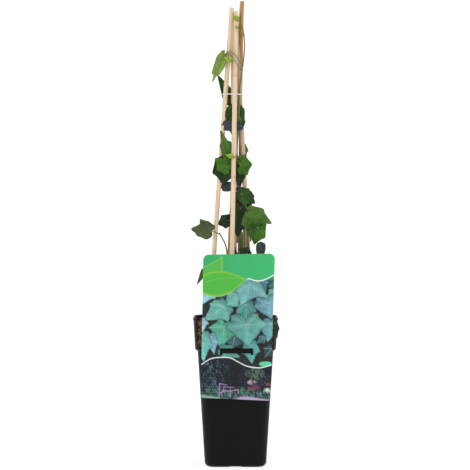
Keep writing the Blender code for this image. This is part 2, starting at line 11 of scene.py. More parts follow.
import bpy
import numpy as np
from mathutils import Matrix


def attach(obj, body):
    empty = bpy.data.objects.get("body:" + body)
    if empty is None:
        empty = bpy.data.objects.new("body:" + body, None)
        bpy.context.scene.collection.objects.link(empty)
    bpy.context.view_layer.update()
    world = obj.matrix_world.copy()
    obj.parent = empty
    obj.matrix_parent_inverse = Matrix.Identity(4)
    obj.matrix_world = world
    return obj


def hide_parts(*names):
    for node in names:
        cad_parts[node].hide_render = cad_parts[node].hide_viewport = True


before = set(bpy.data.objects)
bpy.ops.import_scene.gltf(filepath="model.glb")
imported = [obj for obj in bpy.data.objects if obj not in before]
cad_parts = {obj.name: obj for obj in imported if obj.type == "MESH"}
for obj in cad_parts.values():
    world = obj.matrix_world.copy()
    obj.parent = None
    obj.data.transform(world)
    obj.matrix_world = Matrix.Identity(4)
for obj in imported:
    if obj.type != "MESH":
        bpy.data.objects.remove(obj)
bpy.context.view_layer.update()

MM = 0.001
GAP = 0.3
NOISE_ROUGHNESS = 0.55

# Pot
POT_HEIGHT = 190.0
RIM_HALF = 53.6
COLLAR_HALF = 51.4
BODY_HALF = 48.1
BASE_HALF = 39.0
COLLAR_FOOT = 150.0
LEDGE_FOOT = 147.5
CORNER_RADIUS = 18.0
CORNER_STEPS = 12
POT_SHARP = 32
POT_WALL = 1.5
FLOOR = 3.6
BASE_FILLET = 6.0
LIP_HEIGHT = 3.5
LIP_PROUD = 0.5
OPENING_INSET = 5.6
OPENING_SILL = 3.5
OPENING_DEPTH = 9.0
OPENING_CHAMFER = 2.0
NOTCH_WIDTH, NOTCH_HEIGHT, NOTCH_DEPTH = 18.0, 2.3, 11.0
DRAIN_RADIUS, DRAIN_SPACING = 4.0, 22.0
TAB_WIDTH, TAB_HEIGHT, TAB_LENGTH = 40.0, 4.4, 7.0
TAB_CENTRE, TAB_Z = 1.3, 149.0
CLEAR = 2.0  # how far a cutter runs past what it cuts

# Label
LABEL_BACK = -52.6
LABEL_THICKNESS = 0.6
LABEL_BOTTOM_WIDTH, LABEL_TOP_WIDTH = 87.6, 90.4
LABEL_LEAN = 4.6
LABEL_BOTTOM, LABEL_TOP = 88.0, 271.0
LABEL_TOP_SLOPE, LABEL_BOTTOM_SLOPE = 0.75, 1.9
LABEL_CORNERS = (4.0, 4.0, 7.0, 7.0)
SLOT_MARGIN = 0.9
SLOT_HALF = (TAB_WIDTH / 2 + SLOT_MARGIN, TAB_HEIGHT / 2 + SLOT_MARGIN)
SLOT_HOOK = (3.0, 2.2)
PRINT_STEP = 0.5
PRINT_PROUD = 0.05
NO_AREA = 1e-4
PRINT_POINT = 38
VEIN_GAP = 4.2

# Compost and its loose bits
COMPOST_TOP = 184.0
COMPOST_ROUGHNESS = 1.3
TOP_FIBRES, SIDE_FIBRES, CHIPS = 520, 260, 190
TOP_FIBRE_LENGTH, SIDE_FIBRE_LENGTH, FIBRE_RADIUS = (7, 24), (6, 20), (0.12, 0.32)
FIBRE_POINTS, FIBRE_SIDES = 6, 4
SMALLEST_CHIP, LARGEST_CHIP = (1.4, 0.8, 0.4), (3.2, 1.8, 0.9)
CHIPS_IN_FRONT = 0.3
OPEN_HALF, OPEN_LOW, OPEN_HIGH = 47, 155, 184
MOUND, WALL_DROP = 1.2, 2.6
WALL_ROWS, TOP_ROWS, COMPOST_CORNER_STEPS = 22, 46, 16

# Canes and tie
CANE_RADIUS = 3.0
CANE_FOOT = 55.0
CANE_SIDES = 28
TIE_RISE = 292.0
TIE_RADIUS = 0.6
TIE_TILT = -0.03
TIE_TALL = 1.2
TIE_DIRECTIONS, TIE_STEPS, TIE_SIDES = 240, 160, 12

# Plant
INNER_HALF = RIM_HALF - POT_WALL
STEM_SOCKET = 14.0
PETIOLE_RADIUS = 0.62
PETIOLE_STRETCH = 0.35
PETIOLE_LIFT = 0.3
LEAF_THICKNESS = 0.45
LEAF_SPOKES = 120
LEAF_RINGS = 18
LOBE_BLEND = 8
LOBE_FADE = 40.0
LOBE_SPACING = 54.0
LOBE_TURN = 0.94  # the same in radians
CLEFT, CLEFT_SPREAD = 0.6, 20.0
BLUNTING, BLUNT_SWELL = (-5, -2.5, 0, 2.5, 5), 1.05
LEAF_HUMP, LEAF_WAVE = 0.03, 0.022
LEAF_WAVES = ((1.0, 3), (0.6, 5), (0.4, 9))  # height and waves round the leaf
VEIN_DEPTH, VEIN_WIDTH = 0.25, 0.9
MIDRIB_ROUND = 0.8
SIDE_VEIN_GAP = 2.4
STALK_COLOUR = (0.21, 0.22, 0.085)

Cane = namedtuple("Cane", "foot top length nodes finish")
CANES = {
    "left": Cane((18.0 - INNER_HALF, -8.0), (-4.768, -1.912), 404.0, (92, 231, 344), "pale"),
    "front": Cane((-5.8, 28.0 - INNER_HALF), (0.896, -4.833), 399.0, (61, 187, 318), "pale"),
    "back": Cane((-12.0, INNER_HALF - 21.0), (8.6, 3.378), 413.0, (118, 247, 377), "brown"),
    "right": Cane((INNER_HALF - 31.1, -6.0), (0.131, 2.158), 397.0, (80, 205, 330), "tan"),
}

Stem = namedtuple("Stem", "cane points radii tone")
STEMS = {  # each point: height above the compost, then the way from the cane in x and y
    "main": Stem("right", (
        (0, -10.6, 9.0), (76, -4.8, 6.2), (130, -3.6, 4.6), (168, -9.8, 2.4), (188, -8.8, 1.0),
        (221, -7.5, -1.4), (246, -4.6, -3.9), (272, -2.3, -5.9), (292, -0.7, -6.8), (311, 2.1, -6.6),
        (330, 5.8, -6.0), (350, 9.1, -5.4), (363, 9.5, -6.3), (376, 8.3, -7.6), (386, 4.8, -8.8),
    ), (1.5, 0.7), "olive"),
    "left": Stem("left", ((0, 24, 2), (56, 21, 0), (94, 15.4, -1.6), (114, 5, -5)), (1.2, 0.8), "green"),
    "right_dark": Stem("right", ((0, -14.6, -1), (76, -10.5, -4), (112, -9.4, -5.6)), (1.2, 0.9), "dark"),
    "right_olive": Stem("right", ((0, -8.6, -6), (76, -6, -7), (118, -4.7, -8.4)), (1.3, 0.9), "olive"),
    "right_brown": Stem("right", ((0, -0.6, -9), (76, 0.8, -7.4), (116, 0, -8.6)), (1.4, 1.0), "woody"),
    "back": Stem("back", ((0, 14, -13), (116, 12, -10), (216, 8, -7), (258, 6.6, -5.4)), (1.4, 0.9), "green"),
}


def lobed(main, *pairs):
    """Lobes as (angle from the midrib, length, how much blunter than the leaf's point): the main one,
    then each pair left and right of it."""
    sides = [(side * angle, length, blunt) for angle, length, blunt in pairs for side in (-1, 1)]
    return [(0, 1.0, main), *sides]


LOBES = {
    "ivy": lobed(0, (54, 0.72, -2), (108, 0.42, 6)),
    "blunt": lobed(6, (54, 0.8, 6), (108, 0.5, 12)),
    "broad": lobed(8, (54, 0.84, 10), (108, 0.6, 14)),
    "lance": lobed(-2, (108, 0.34, 14)),
    "tailed": lobed(-26, (20, 0.64, 2), (108, 0.3, 14)),
    "shield": lobed(-14, (38, 0.58, 8), (100, 0.4, 16)),
    "band": lobed(30, (24, 0.9, -14)),
    "spread": lobed(0) + [(-25, 0.74, -4), (42, 0.84, -6), (-108, 0.12, 14), (108, 0.12, 14)],
    "wide": lobed(6, (86, 1.0, 0)) + [(-128, 0.72, 8), (126, 0.85, 8)],
    "left_wing": lobed(-4) + [(-78, 0.93, -8), (38, 0.68, 8), (-130, 0.4, 10), (100, 0.5, 10)],
    "right_wing": lobed(-2) + [(-70, 0.58, 0), (73, 0.75, -6), (-120, 0.5, 8), (120, 0.4, 8)],
    "slanted": lobed(-8) + [(-71, 0.64, -8), (46, 0.6, -6), (-120, 0.4, 4), (110, 0.36, 4)],
}


def table(rows):
    """A table's rows of words: numbers parted by commas, a number, or a name."""

    def read(word):
        try:
            numbers = tuple(float(part) for part in word.split(","))
        except ValueError:
            return word
        return numbers if len(numbers) > 1 else numbers[0]

    return [[read(word) for word in row.split()] for row in rows.strip().splitlines()]


Leaf = namedtuple(
    "Leaf",
    "name stem root anchor rise offset reach width point fold curl slot tone lobes bow",
    defaults=["ivy", (0.0, 0.0, 0.0)],
)
# Leaves given the sheen tone (sheen_band, grey_band, grey_right) are painted with a reflection of the light
# in place of their green.
LEAVES = [Leaf(*row) for row in table("""
tip main 384 front 388 1.4,-4 -5,-3,6 0.8 36 0.3 0.2 young young
top_bud main 368 front 377 2.4,-4.6 -4,-2,2 0.6 34 0.3 0.2 young young
hanging main 330 left 340 -6,-6.2 -19,-2,-41 0.46 34 0.5 0.5 mid fresh tailed 0,-12,9
young_left main 322 left 335 4,-10 -9,-2,4 0.7 34 0.3 0.2 bright young ivy 0,-7,4
above_tie main 278 left 280 10.5,4.9 -20,3,39 0.46 32 0.2 0.1 dark deep lance 0,4,0
upper_mid main 284 front 268 0.8,7 -2,0,-30 0.62 38 0.1 0.1 dark deep broad
sheen_band main 262 front 251 9,4 -25,0,1 0.54 38 0 0.1 grey grey band
long_left main 205 front 213 -5.5,5.8 -12.5,-3,35 0.56 34 0.1 0.1 mid mid shield
young_mid main 212 front 211 -1.8,-4.9 -9,-1,3 0.6 34 0.3 0.2 young young ivy 10,-4,0
lobed_left main 186 left 198 8.6,-8 -15,-4,11 0.8 34 0.1 0.2 bright vivid broad
dark_left main 176 left 202 6.6,-4.6 -3,0,-26 0.84 36 0.1 0.1 dark dark broad
glossy_right main 205 right 200 -3.4,-8.6 14,-4,2 1.3 36 0.1 0.3 bright vivid broad 0,-4,4
lower_right main 202 right 198 -7.4,-4.4 3,0,-24 0.5 38 0 0.05 dark dark broad 0,1,0
grey_band main 166 front 174 5.2,12.4 -21,0,-1 0.6 38 0 0.1 grey grey band
dark_right main 164 right 164 -5.2,-6.6 18,-3,-12 0.66 40 0.1 0.2 dark deep blunt
broad_right main 168 right 140 6.4,-11.4 26.4,-6,-14 0.62 36 0.1 0.2 bright mid
dark_centre main 136 front 146 9.4,10.2 -4,-1,-36 0.5 40 0.1 0.1 dark dark broad
vivid_right right_brown 108 right 120 14.4,-10.4 -5,-2,-21 0.8 36 0.1 0.2 bright vivid blunt
lower_mid right_olive 114 right 133 2.4,-8.4 1,0,-19 0.8 38 0.1 0.1 mid mid ivy 0,0,3
glossy_left main 128 left 130 16,2.6 -15,-1,-5 0.85 36 0.2 0.4 dark dark blunt
far_left left 112 left 116 -6,-5.4 -26,-3,3 0.95 30 0.1 0.2 mid olive spread
small_dark right_olive 74 right 86 -1,-13.4 -11,-1,9 0.9 36 0.1 0.2 dark dark
behind_label left 66 front 78 4.4,7 -1,0,19 0.4 36 0.1 0.1 dark dark
grey_right right_brown 72 right 82 15,-17 1,-3,20 0.6 38 0 0.1 grey grey band
label_left left 44 wall 69 -37,8 -12,-1,-21 0.38 34 0.1 0.1 mid olive lance
over_rim right_brown 10 corner 0 -2.6,0.8 3,1,-20 0.4 36 0 0.1 dark dark ivy 0,0,10
low_left left 40 left 30 8,-12 -12,-10,-12 0.9 36 0.1 0.2 dark dark
low_right right_olive 30 right 40 4,-14 14,-12,-12 0.9 36 0.1 0.2 mid mid
low_front right_dark 14 wall 20 8,18 -4,-13,-8 0.8 36 0.1 0.2 dark dark
back_low back 20 back 24 22,8 10,12,-12 0.9 36 0.1 0.3 dark dark
back_left back 50 back 54 -14,0 -18,10,-12 0.9 36 0.1 0.3 mid mid ivy 0,-7,4
back_right back 70 back 74 24,-4 20,12,-8 0.9 36 0.1 0.3 dark dark
back_centre back 104 back 112 16,6 2,12,-22 0.7 36 0.1 0.3 bright vivid
side_right back 128 back 134 24,-4 22,8,-10 0.9 36 0.1 0.3 mid mid
back_mid back 158 back 166 16,5 8,10,-20 0.7 36 0.1 0.3 dark dark
back_upper_left back 196 back 202 -9,3 -16,6,-8 0.8 36 0.1 0.3 mid mid ivy 0,-7,3
back_upper_right back 216 back 226 10,5 4,9,-15 0.6 36 0.1 0.3 bright bright
back_top back 256 back 264 5,6 1,6,-17 0.6 36 0.1 0.2 dark dark
""")]
FRONT_FACE, BACK_FACE = (0, -1, 0.1), (0, 1, 0.4)


# Shapes

Skin = namedtuple("Skin", "points faces layers")


def unit(vectors):
    """Each vector scaled to length 1."""
    return vectors / np.linalg.norm(vectors, axis=-1, keepdims=True)


def quads_over(rows, columns, round_rows=False, round_columns=True):
    """Quads that join neighbouring points of a grid numbered row by row, which may close on itself."""
    row, column = np.meshgrid(np.arange(rows), np.arange(columns), indexing="ij")
    ahead, beside = (row + 1) % rows, (column + 1) % columns
    corners = [(row, column), (row, beside), (ahead, beside), (ahead, column)]
    quads = np.stack([r * columns + c for r, c in corners], -1)
    return quads[: rows - (not round_rows), : columns - (not round_columns)].reshape(-1, 4)


def circle(count):
    """Points evenly round a circle of radius 1."""
    turn = np.linspace(0, 2 * np.pi, count, endpoint=False)
    return np.stack([np.cos(turn), np.sin(turn)], -1)


def bell(off, width):
    """1 at no distance, falling along a bell curve."""
    return np.exp(-((off / width) ** 2))


def shell(rings, **layers):
    """A closed skin through rings of points, shape (rows, columns, 3).

    Neighbouring rings are joined by quads, and each end ring is drawn in to its mean point. The
    faces are turned so that the volume they enclose is positive. A layer holds a value for every
    point of the grid, and an end point takes the mean of its ring.
    """
    rows, columns = rings.shape[:2]
    points = np.concatenate([rings.reshape(-1, 3), rings[0].mean(0)[None], rings[-1].mean(0)[None]])
    quads = quads_over(rows, columns)
    around = np.arange(columns)
    ahead = (around + 1) % columns
    last = (rows - 1) * columns
    first_end = np.stack([ahead, around, np.full(columns, rows * columns)], -1)
    last_end = np.stack([last + around, last + ahead, np.full(columns, rows * columns + 1)], -1)
    ends = np.concatenate([first_end, last_end])
    a, b, c = points[np.concatenate([quads[:, [0, 1, 2]], quads[:, [0, 2, 3]], ends])].transpose(1, 0, 2)
    if (a * np.cross(b, c)).sum() < 0:
        quads, ends = quads[:, ::-1], ends[:, ::-1]
    closed = {}
    for name, values in layers.items():
        values = np.broadcast_to(values, (rows, columns) + np.shape(values)[2:]).reshape(rows, columns, -1)
        flat = values.reshape(rows * columns, -1)
        closed[name] = np.concatenate([flat, values[0].mean(0)[None], values[-1].mean(0)[None]])
    return Skin(points, [quads, ends], closed)


def joined(skins):
    """Several skins as one."""
    starts = np.cumsum([0] + [len(skin.points) for skin in skins])
    faces = [part + start for skin, start in zip(skins, starts) for part in skin.faces]
    layers = {name: np.concatenate([skin.layers[name] for skin in skins]) for name in skins[0].layers}
    return Skin(np.concatenate([skin.points for skin in skins]), faces, layers)


def mesh_of(name, skin):
    """A mesh in metres from a skin in millimetres."""
    mesh = bpy.data.meshes.new(name)
    faces = [face for part in skin.faces for face in part.tolist()]
    mesh.from_pydata((skin.points * MM).tolist(), [], faces)
    return mesh


def linked(name, data):
    """An object in the scene that holds the data."""
    thing = bpy.data.objects.new(name, data)
    bpy.context.scene.collection.objects.link(thing)
    return thing


def shade(mesh, smooth=True, sharp=None):
    """Smooth or flat faces, with edges sharper than an angle in degrees left sharp."""
    mesh.polygons.foreach_set("use_smooth", np.full(len(mesh.polygons), smooth))
    if sharp:
        mesh.set_sharp_from_angle(angle=np.radians(sharp))


def add_piece(name, skin, finish, replaces=(), smooth=True, sharp=None):
    """An object of the part from a skin.

    A layer named UV becomes the UV map, one of three numbers a colour and any other one a number.
    """
    mesh = mesh_of(name, skin)
    mesh.validate()
    for layer, values in skin.layers.items():
        if layer == "UV":
            target, socket = mesh.uv_layers.new(name="UV").data, "uv"
            values = values[np.concatenate([part.ravel() for part in skin.faces])]
        elif values.shape[1] == 3:
            target, socket = mesh.attributes.new(layer, "FLOAT_COLOR", "POINT").data, "color"
            values = np.concatenate([values, np.ones((len(values), 1))], 1)
        else:
            target, socket = mesh.attributes.new(layer, "FLOAT", "POINT").data, "value"
        target.foreach_set(socket, values.astype(np.float32).ravel())
    shade(mesh, smooth, sharp)
    mesh.materials.append(finish)
    piece = linked(name, mesh)
    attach(piece, "root")
    if replaces:
        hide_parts(*replaces)
    return piece


def smooth_path(points, steps):
    """A Catmull-Rom curve through the points, with this many steps between two of them."""
    points = np.asarray(points, float)
    ends = np.concatenate([[2 * points[0] - points[1]], points, [2 * points[-1] - points[-2]]])
    a, b, c, d = ends[:-3, None], ends[1:-2, None], ends[2:-1, None], ends[3:, None]
    t = (np.arange(steps) / steps)[None, :, None]
    curve = 2 * b + (c - a) * t + (2 * a - 5 * b + 4 * c - d) * t**2 + (3 * b - a - 3 * c + d) * t**3
    return np.concatenate([(curve / 2).reshape(-1, points.shape[1]), points[-1:]])


def rings_along(path, radii, sides, aside=None):
    """Circles along a path, or along many at once, shape (..., points, sides, 3).

    Each circle lies square to the path. It starts from the direction aside, which for one path is
    the normal of the plane that fits it best.
    """
    if aside is None:
        aside = np.linalg.svd(path - path.mean(0))[2][2]
    along = unit(np.gradient(path, axis=-2))
    side = unit(aside - along * (along * aside).sum(-1, keepdims=True))
    across = np.cross(along, side)
    turn = np.linspace(0, 2 * np.pi, sides, endpoint=False)[:, None]
    spokes = side[..., None, :] * np.cos(turn) + across[..., None, :] * np.sin(turn)
    return path[..., None, :] + spokes * np.asarray(radii)[..., None, None]


def rounded_square(half, radius, steps=CORNER_STEPS):
    """Rings of a square with rounded corners, shape (rows, columns, 2): four quarter circles whose
    middles are set in from the corners by their radius."""
    turn = np.linspace(0, np.pi / 2, steps + 1)
    angle = (np.arange(4)[:, None] * np.pi / 2 + turn).ravel()
    corner = np.repeat(np.arange(4) * np.pi / 2 + np.pi / 4, steps + 1)
    middle = np.sign(np.stack([np.cos(corner), np.sin(corner)], -1))
    way = np.stack([np.cos(angle), np.sin(angle)], -1)
    half, radius = np.asarray(half)[:, None, None], np.asarray(radius)[:, None, None]
    return middle * (half - radius) + way * radius


def ripple(points, size, seed, waves=10):
    """Smooth unevenness, mostly from -1 to 1: sine waves about this long in seeded directions."""
    rng = np.random.default_rng(seed)
    ways = rng.normal(size=(points.shape[-1], waves)) * 2.5 / size
    phases = rng.uniform(0, 2 * np.pi, waves)
    return np.sin(points @ ways + phases).mean(-1) * np.sqrt(waves) / 1.4


# Finishes


class Finish:
    """A material's node tree, with one short call for each kind of node."""

    def __init__(self, name, roughness, **sockets):
        self.material = bpy.data.materials.new(name)
        self.material.use_nodes = True
        self.tree = self.material.node_tree
        self.shader = self.tree.nodes["Principled BSDF"]
        self.place = self.node("ShaderNodeTexCoord").outputs["Object"]
        self.feed(self.shader.inputs["Roughness"], roughness)
        for socket, value in sockets.items():
            self.feed(self.shader.inputs[socket.replace("_", " ")], value)

    def feed(self, socket, value):
        if isinstance(value, bpy.types.NodeSocket):
            self.tree.links.new(value, socket)
        else:
            socket.default_value = value

    def node(self, kind, inputs=(), **settings):
        node = self.tree.nodes.new(kind)
        for setting, value in settings.items():
            setattr(node, setting, value)
        for socket, value in dict(inputs).items():
            self.feed(node.inputs[socket], value)
        return node

    def noise(self, scale, detail=3.0, stretch=None):
        """Noise at this scale, on coordinates multiplied by a number for each axis if they are given."""
        place = self.place
        if stretch:
            mapping = {"Vector": place, "Scale": stretch}
            place = self.node("ShaderNodeMapping", mapping).outputs["Vector"]
        inputs = {"Scale": scale, "Detail": detail, "Roughness": NOISE_ROUGHNESS, "Vector": place}
        return self.node("ShaderNodeTexNoise", inputs).outputs["Fac"]

    def cells(self, scale, place=None, feature="DISTANCE_TO_EDGE"):
        inputs = {"Scale": scale, "Vector": place or self.place}
        return self.node("ShaderNodeTexVoronoi", inputs, feature=feature).outputs["Distance"]

    def layer(self, name, output="Fac"):
        return self.node("ShaderNodeAttribute", attribute_name=name).outputs[output]

    def uv(self):
        """The UV map's place, and its two numbers."""
        place = self.node("ShaderNodeUVMap", uv_map="UV").outputs["UV"]
        return place, *self.node("ShaderNodeSeparateXYZ", {0: place}).outputs[:2]

    def calc(self, operation, a, b=0.0):
        return self.node("ShaderNodeMath", {0: a, 1: b}, operation=operation).outputs[0]

    def spread(self, value, low, high, to_low=0.0, to_high=1.0):
        """The value's range from low to high, turned smoothly into another range."""
        inputs = {0: value, 1: low, 2: high, 3: to_low, 4: to_high}
        return self.node("ShaderNodeMapRange", inputs, interpolation_type="SMOOTHSTEP").outputs[0]

    def mix(self, share, a, b, blend="MIX"):
        a, b = (c if isinstance(c, bpy.types.NodeSocket) else (*c, 1.0) for c in (a, b))
        node = self.node("ShaderNodeMix", {0: share, 6: a, 7: b}, data_type="RGBA", blend_type=blend)
        return node.outputs[2]

    def bump(self, height, strength, distance, normal=None):
        inputs = {"Height": height, "Strength": strength, "Distance": distance * MM}
        if normal:
            inputs["Normal"] = normal
        return self.node("ShaderNodeBump", inputs).outputs["Normal"]

    def done(self, colour, normal=None, roughness=None):
        self.feed(self.shader.inputs["Base Color"], colour)
        if normal:
            self.feed(self.shader.inputs["Normal"], normal)
        if roughness:
            self.feed(self.shader.inputs["Roughness"], roughness)
        return self.material


def pot_plastic():
    """Black moulded plastic: satin, with faint flow lines, a fine grain and dust in noise patches."""
    paint = Finish("pot_plastic", 0.4, Specular_IOR_Level=0.12)
    dust = paint.noise(55.0, 6.0)
    flow = paint.noise(1.0, 2.0, (260.0, 260.0, 9.0))
    grain = paint.noise(2400.0, 2.0)
    clean, dusty = (0.0024, 0.0024, 0.0025), (0.0042, 0.0042, 0.0042)
    colour = paint.mix(paint.spread(dust, 0.45, 0.8), clean, dusty)
    normal = paint.bump(grain, 0.25, 0.05, paint.bump(flow, 0.2, 0.12))
    return paint.done(colour, normal, paint.spread(dust, 0.2, 0.8, 0.34, 0.52))


def bamboo(name, light, dark, band):
    """Bamboo: long fibres in two tones, darker rings at the nodes, and painted shade in the middle of the
    sawn ends, in place of the cane's hollow.
    """
    paint = Finish(name, 0.5)
    fibres = paint.noise(1.0, 4.0, (1300.0, 1300.0, 16.0))
    patches = paint.noise(26.0, 3.0, (1.0, 1.0, 0.35))
    ring = paint.layer("ring")
    pith = paint.layer("pith")
    colour = paint.mix(paint.spread(fibres, 0.35, 0.7), light, dark)
    colour = paint.mix(paint.spread(patches, 0.5, 0.75, 0.0, 0.55), colour, band)
    colour = paint.mix(paint.calc("MULTIPLY", ring, 0.7), colour, band)
    # Painted shade: the middle of each sawn end is darkened where the cane's hollow would lie in shadow.
    colour = paint.mix(paint.calc("MULTIPLY", pith, 0.85), colour, (0.10, 0.055, 0.025))
    normal = paint.bump(fibres, 0.35, 0.15)
    return paint.done(colour, normal, paint.spread(fibres, 0.3, 0.7, 0.42, 0.62))


def stem_bark(name, young, old):
    """A climbing stem: green above and browner below, with fine lengthwise wrinkles."""
    paint = Finish(name, 0.5)
    along = paint.layer("along")
    wrinkles = paint.noise(1.0, 3.0, (900.0, 900.0, 120.0))
    blotches = paint.noise(190.0, 3.0)
    colour = paint.mix(paint.calc("ADD", along, paint.spread(blotches, 0.3, 0.7, -0.2, 0.2)), old, young)
    colour = paint.mix(paint.spread(wrinkles, 0.4, 0.7, 0.0, 0.4), colour, old)
    return paint.done(colour, paint.bump(wrinkles, 0.5, 0.2))


def ivy_leaf(name, flesh, deep, under, gloss):
    """An ivy leaf: pale veins that run from its foot to the lobes, side veins and a fine net between
    them, blotched flesh, and a paler, duller underside.

    The UV map gives a point's place on the flat blade in millimetres from its foot.
    """
    paint = Finish(name, gloss, Specular_IOR_Level=0.18)
    uv, u, v = paint.uv()
    angle = paint.calc("MULTIPLY", paint.calc("ARCTAN2", u, v), float(180 / np.pi / LOBE_SPACING))
    off = paint.calc("PINGPONG", paint.calc("ABSOLUTE", angle), 0.5)
    reach = paint.node("ShaderNodeVectorMath", {0: uv}, operation="LENGTH").outputs["Value"]
    sine = paint.calc("SINE", paint.calc("MULTIPLY", off, LOBE_TURN))
    beside = paint.calc("MULTIPLY", reach, sine)
    main = paint.spread(beside, 0.12, 0.55, 1.0, 0.0)
    slant = paint.calc("PINGPONG", paint.calc("SUBTRACT", reach, beside), SIDE_VEIN_GAP)
    side = paint.spread(slant, 0.0, 0.35, 0.45, 0.0)
    net = paint.spread(paint.cells(0.75, uv), 0.0, 0.11, 0.22, 0.0)
    veins = paint.calc("MAXIMUM", main, paint.calc("MAXIMUM", side, net))
    blotches = paint.noise(70.0, 4.0)
    colour = paint.mix(paint.spread(blotches, 0.35, 0.7), flesh, deep)
    pale = tuple(min(1.0, 1.5 * c + 0.035) for c in flesh)
    colour = paint.mix(paint.calc("MULTIPLY", veins, 0.6), colour, pale)
    below = paint.layer("below")
    colour = paint.mix(paint.calc("MULTIPLY", below, 0.8), colour, under)
    stalk = paint.layer("stalk")
    colour = paint.mix(stalk, colour, STALK_COLOUR)
    dents = paint.bump(blotches, 0.3, 0.6)
    normal = paint.bump(paint.calc("SUBTRACT", 1.0, veins), 0.35, 0.25, dents)
    rough = paint.spread(blotches, 0.3, 0.7, gloss - 0.05, gloss + 0.1)
    return paint.done(colour, normal, paint.calc("ADD", rough, paint.calc("MULTIPLY", below, 0.25)))


def coir_compost():
    """Damp coir and peat: dark brown with lighter crumbs."""
    paint = Finish("coir_compost", 0.95, Specular_IOR_Level=0.2)
    crumbs = paint.cells(420.0, feature="F1")
    patches = paint.noise(120.0, 5.0)
    colour = paint.mix(paint.spread(patches, 0.35, 0.65), (0.020, 0.010, 0.005), (0.085, 0.036, 0.015))
    colour = paint.mix(paint.spread(crumbs, 0.1, 0.5, 0.5, 0.0), colour, (0.22, 0.10, 0.045))
    return paint.done(colour, paint.bump(paint.noise(700.0, 4.0), 0.9, 1.0))


def loose_fibre(name, light, dark, size):
    """Coir or bark in two tones."""
    paint = Finish(name, 0.8, Specular_IOR_Level=0.3)
    streaks = paint.noise(size, 4.0)
    colour = paint.mix(paint.spread(streaks, 0.35, 0.65), light, dark)
    return paint.done(colour, paint.bump(streaks, 0.5, 0.3))


def white_elastic():
    """A knitted elastic band: white, with fine ribs across it, and painted shade in the grooves between the
    ribs.
    """
    paint = Finish("white_elastic_band", 0.6, Sheen_Weight=0.2)
    ribs = paint.calc("PINGPONG", paint.uv()[1], 0.35)
    # Painted shade: the colour darkens where the ribs are low, as in the shaded grooves.
    colour = paint.mix(paint.spread(ribs, 0.0, 0.3), (0.62, 0.62, 0.66), (0.86, 0.86, 0.88))
    return paint.done(colour, paint.bump(ribs, 0.5, 0.1))


def label_ink():
    """Printed film: the ink layer's own colours, with a light dot grain."""
    paint = Finish("label_ink", 0.32, Specular_IOR_Level=0.2)
    ink = paint.layer("ink", "Color")
    grain = paint.noise(1800.0, 2.0)
    colour = paint.mix(paint.spread(grain, 0.3, 0.8, 0.0, 0.12), ink, (1.0, 1.0, 1.0), "OVERLAY")
    return paint.done(colour, paint.bump(grain, 0.08, 0.03))


def label_card():
    """White plastic card: smooth, with faint milky clouds."""
    paint = Finish("label_card", 0.38, Specular_IOR_Level=0.4)
    clouds = paint.noise(60.0, 4.0)
    colour = paint.mix(paint.spread(clouds, 0.35, 0.7), (0.78, 0.79, 0.77), (0.70, 0.72, 0.70))
    return paint.done(colour, paint.bump(clouds, 0.1, 0.1))


# Pot


def corner_radius(half, inset):
    """The pot's corners shrink with its width."""
    return CORNER_RADIUS * (half + inset) / RIM_HALF - inset


def softened(profile, radius, steps=4):
    """A profile whose inner corners are rounded: each is replaced by the quadratic curve between the
    points this far before and after it."""
    here, back, ahead = profile[1:-1], profile[:-2], profile[2:]

    def towards(other):
        far = np.linalg.norm(other - here, axis=-1)
        return here + unit(other - here) * np.minimum(radius, far / 2.2)[:, None]

    first, last = towards(back), towards(ahead)
    t = np.linspace(0, 1, steps)[None, :, None]
    curves = (1 - t) ** 2 * first[:, None] + 2 * t * (1 - t) * here[:, None] + t**2 * last[:, None]
    return np.concatenate([profile[:1], curves.reshape(-1, 2), profile[-1:]])


def body_half(z):
    """Half width of the body at a height: it widens evenly."""
    return BASE_HALF + (BODY_HALF - BASE_HALF) * z / LEDGE_FOOT


def pot_profile():
    """(half width, height, inset) up the outside, over the lip and down the inside."""
    turn = np.linspace(0, np.pi / 2, 7)
    z = BASE_FILLET * (1 - np.cos(turn))
    inset = BASE_FILLET * (1 - np.sin(turn))
    base = np.stack([body_half(z) - inset, z], -1)
    lip_foot = POT_HEIGHT - LIP_HEIGHT
    outside = np.array([
        base[-1], (BODY_HALF, LEDGE_FOOT), (COLLAR_HALF, COLLAR_FOOT), (RIM_HALF - 0.2, lip_foot),
        (RIM_HALF + LIP_PROUD, lip_foot + 0.6), (RIM_HALF + LIP_PROUD, POT_HEIGHT), (INNER_HALF, POT_HEIGHT),
        (COLLAR_HALF - POT_WALL, COLLAR_FOOT + POT_WALL / 3),
        (BODY_HALF - POT_WALL, LEDGE_FOOT + POT_WALL / 3), (body_half(FLOOR) - POT_WALL, FLOOR),
    ])
    profile = np.concatenate([base[:-1], softened(outside, 0.7)])
    inside = np.arange(len(profile)) > np.argmax(profile[:, 1]) + 2
    insets = np.concatenate([inset[:-1], np.where(inside, POT_WALL, 0.0)[len(inset) - 1 :]])
    return profile[:, 0], profile[:, 1], insets


def prism(outline, front, back):
    """An outline in x and z drawn out along y."""
    outline = np.asarray(outline, float)
    ring = np.stack([outline[:, 0], np.zeros(len(outline)), outline[:, 1]], -1)
    return shell(np.stack([ring + (0, front, 0), ring + (0, back, 0)]))


def carved(piece, cuts):
    """The piece's mesh with each cut's skin taken away or added by an exact Boolean."""
    tools = []
    for skin, operation in cuts:
        tools.append(linked("tool", mesh_of("tool", skin)))
        modifier = piece.modifiers.new("cut", "BOOLEAN")
        modifier.operation = operation
        modifier.solver = "EXACT"
        modifier.object = tools[-1]
    shape = piece.evaluated_get(bpy.context.evaluated_depsgraph_get())
    mesh = bpy.data.meshes.new_from_object(shape)
    piece.modifiers.clear()
    piece.data = mesh
    for tool in tools:
        bpy.data.objects.remove(tool)
    shade(mesh, sharp=POT_SHARP)


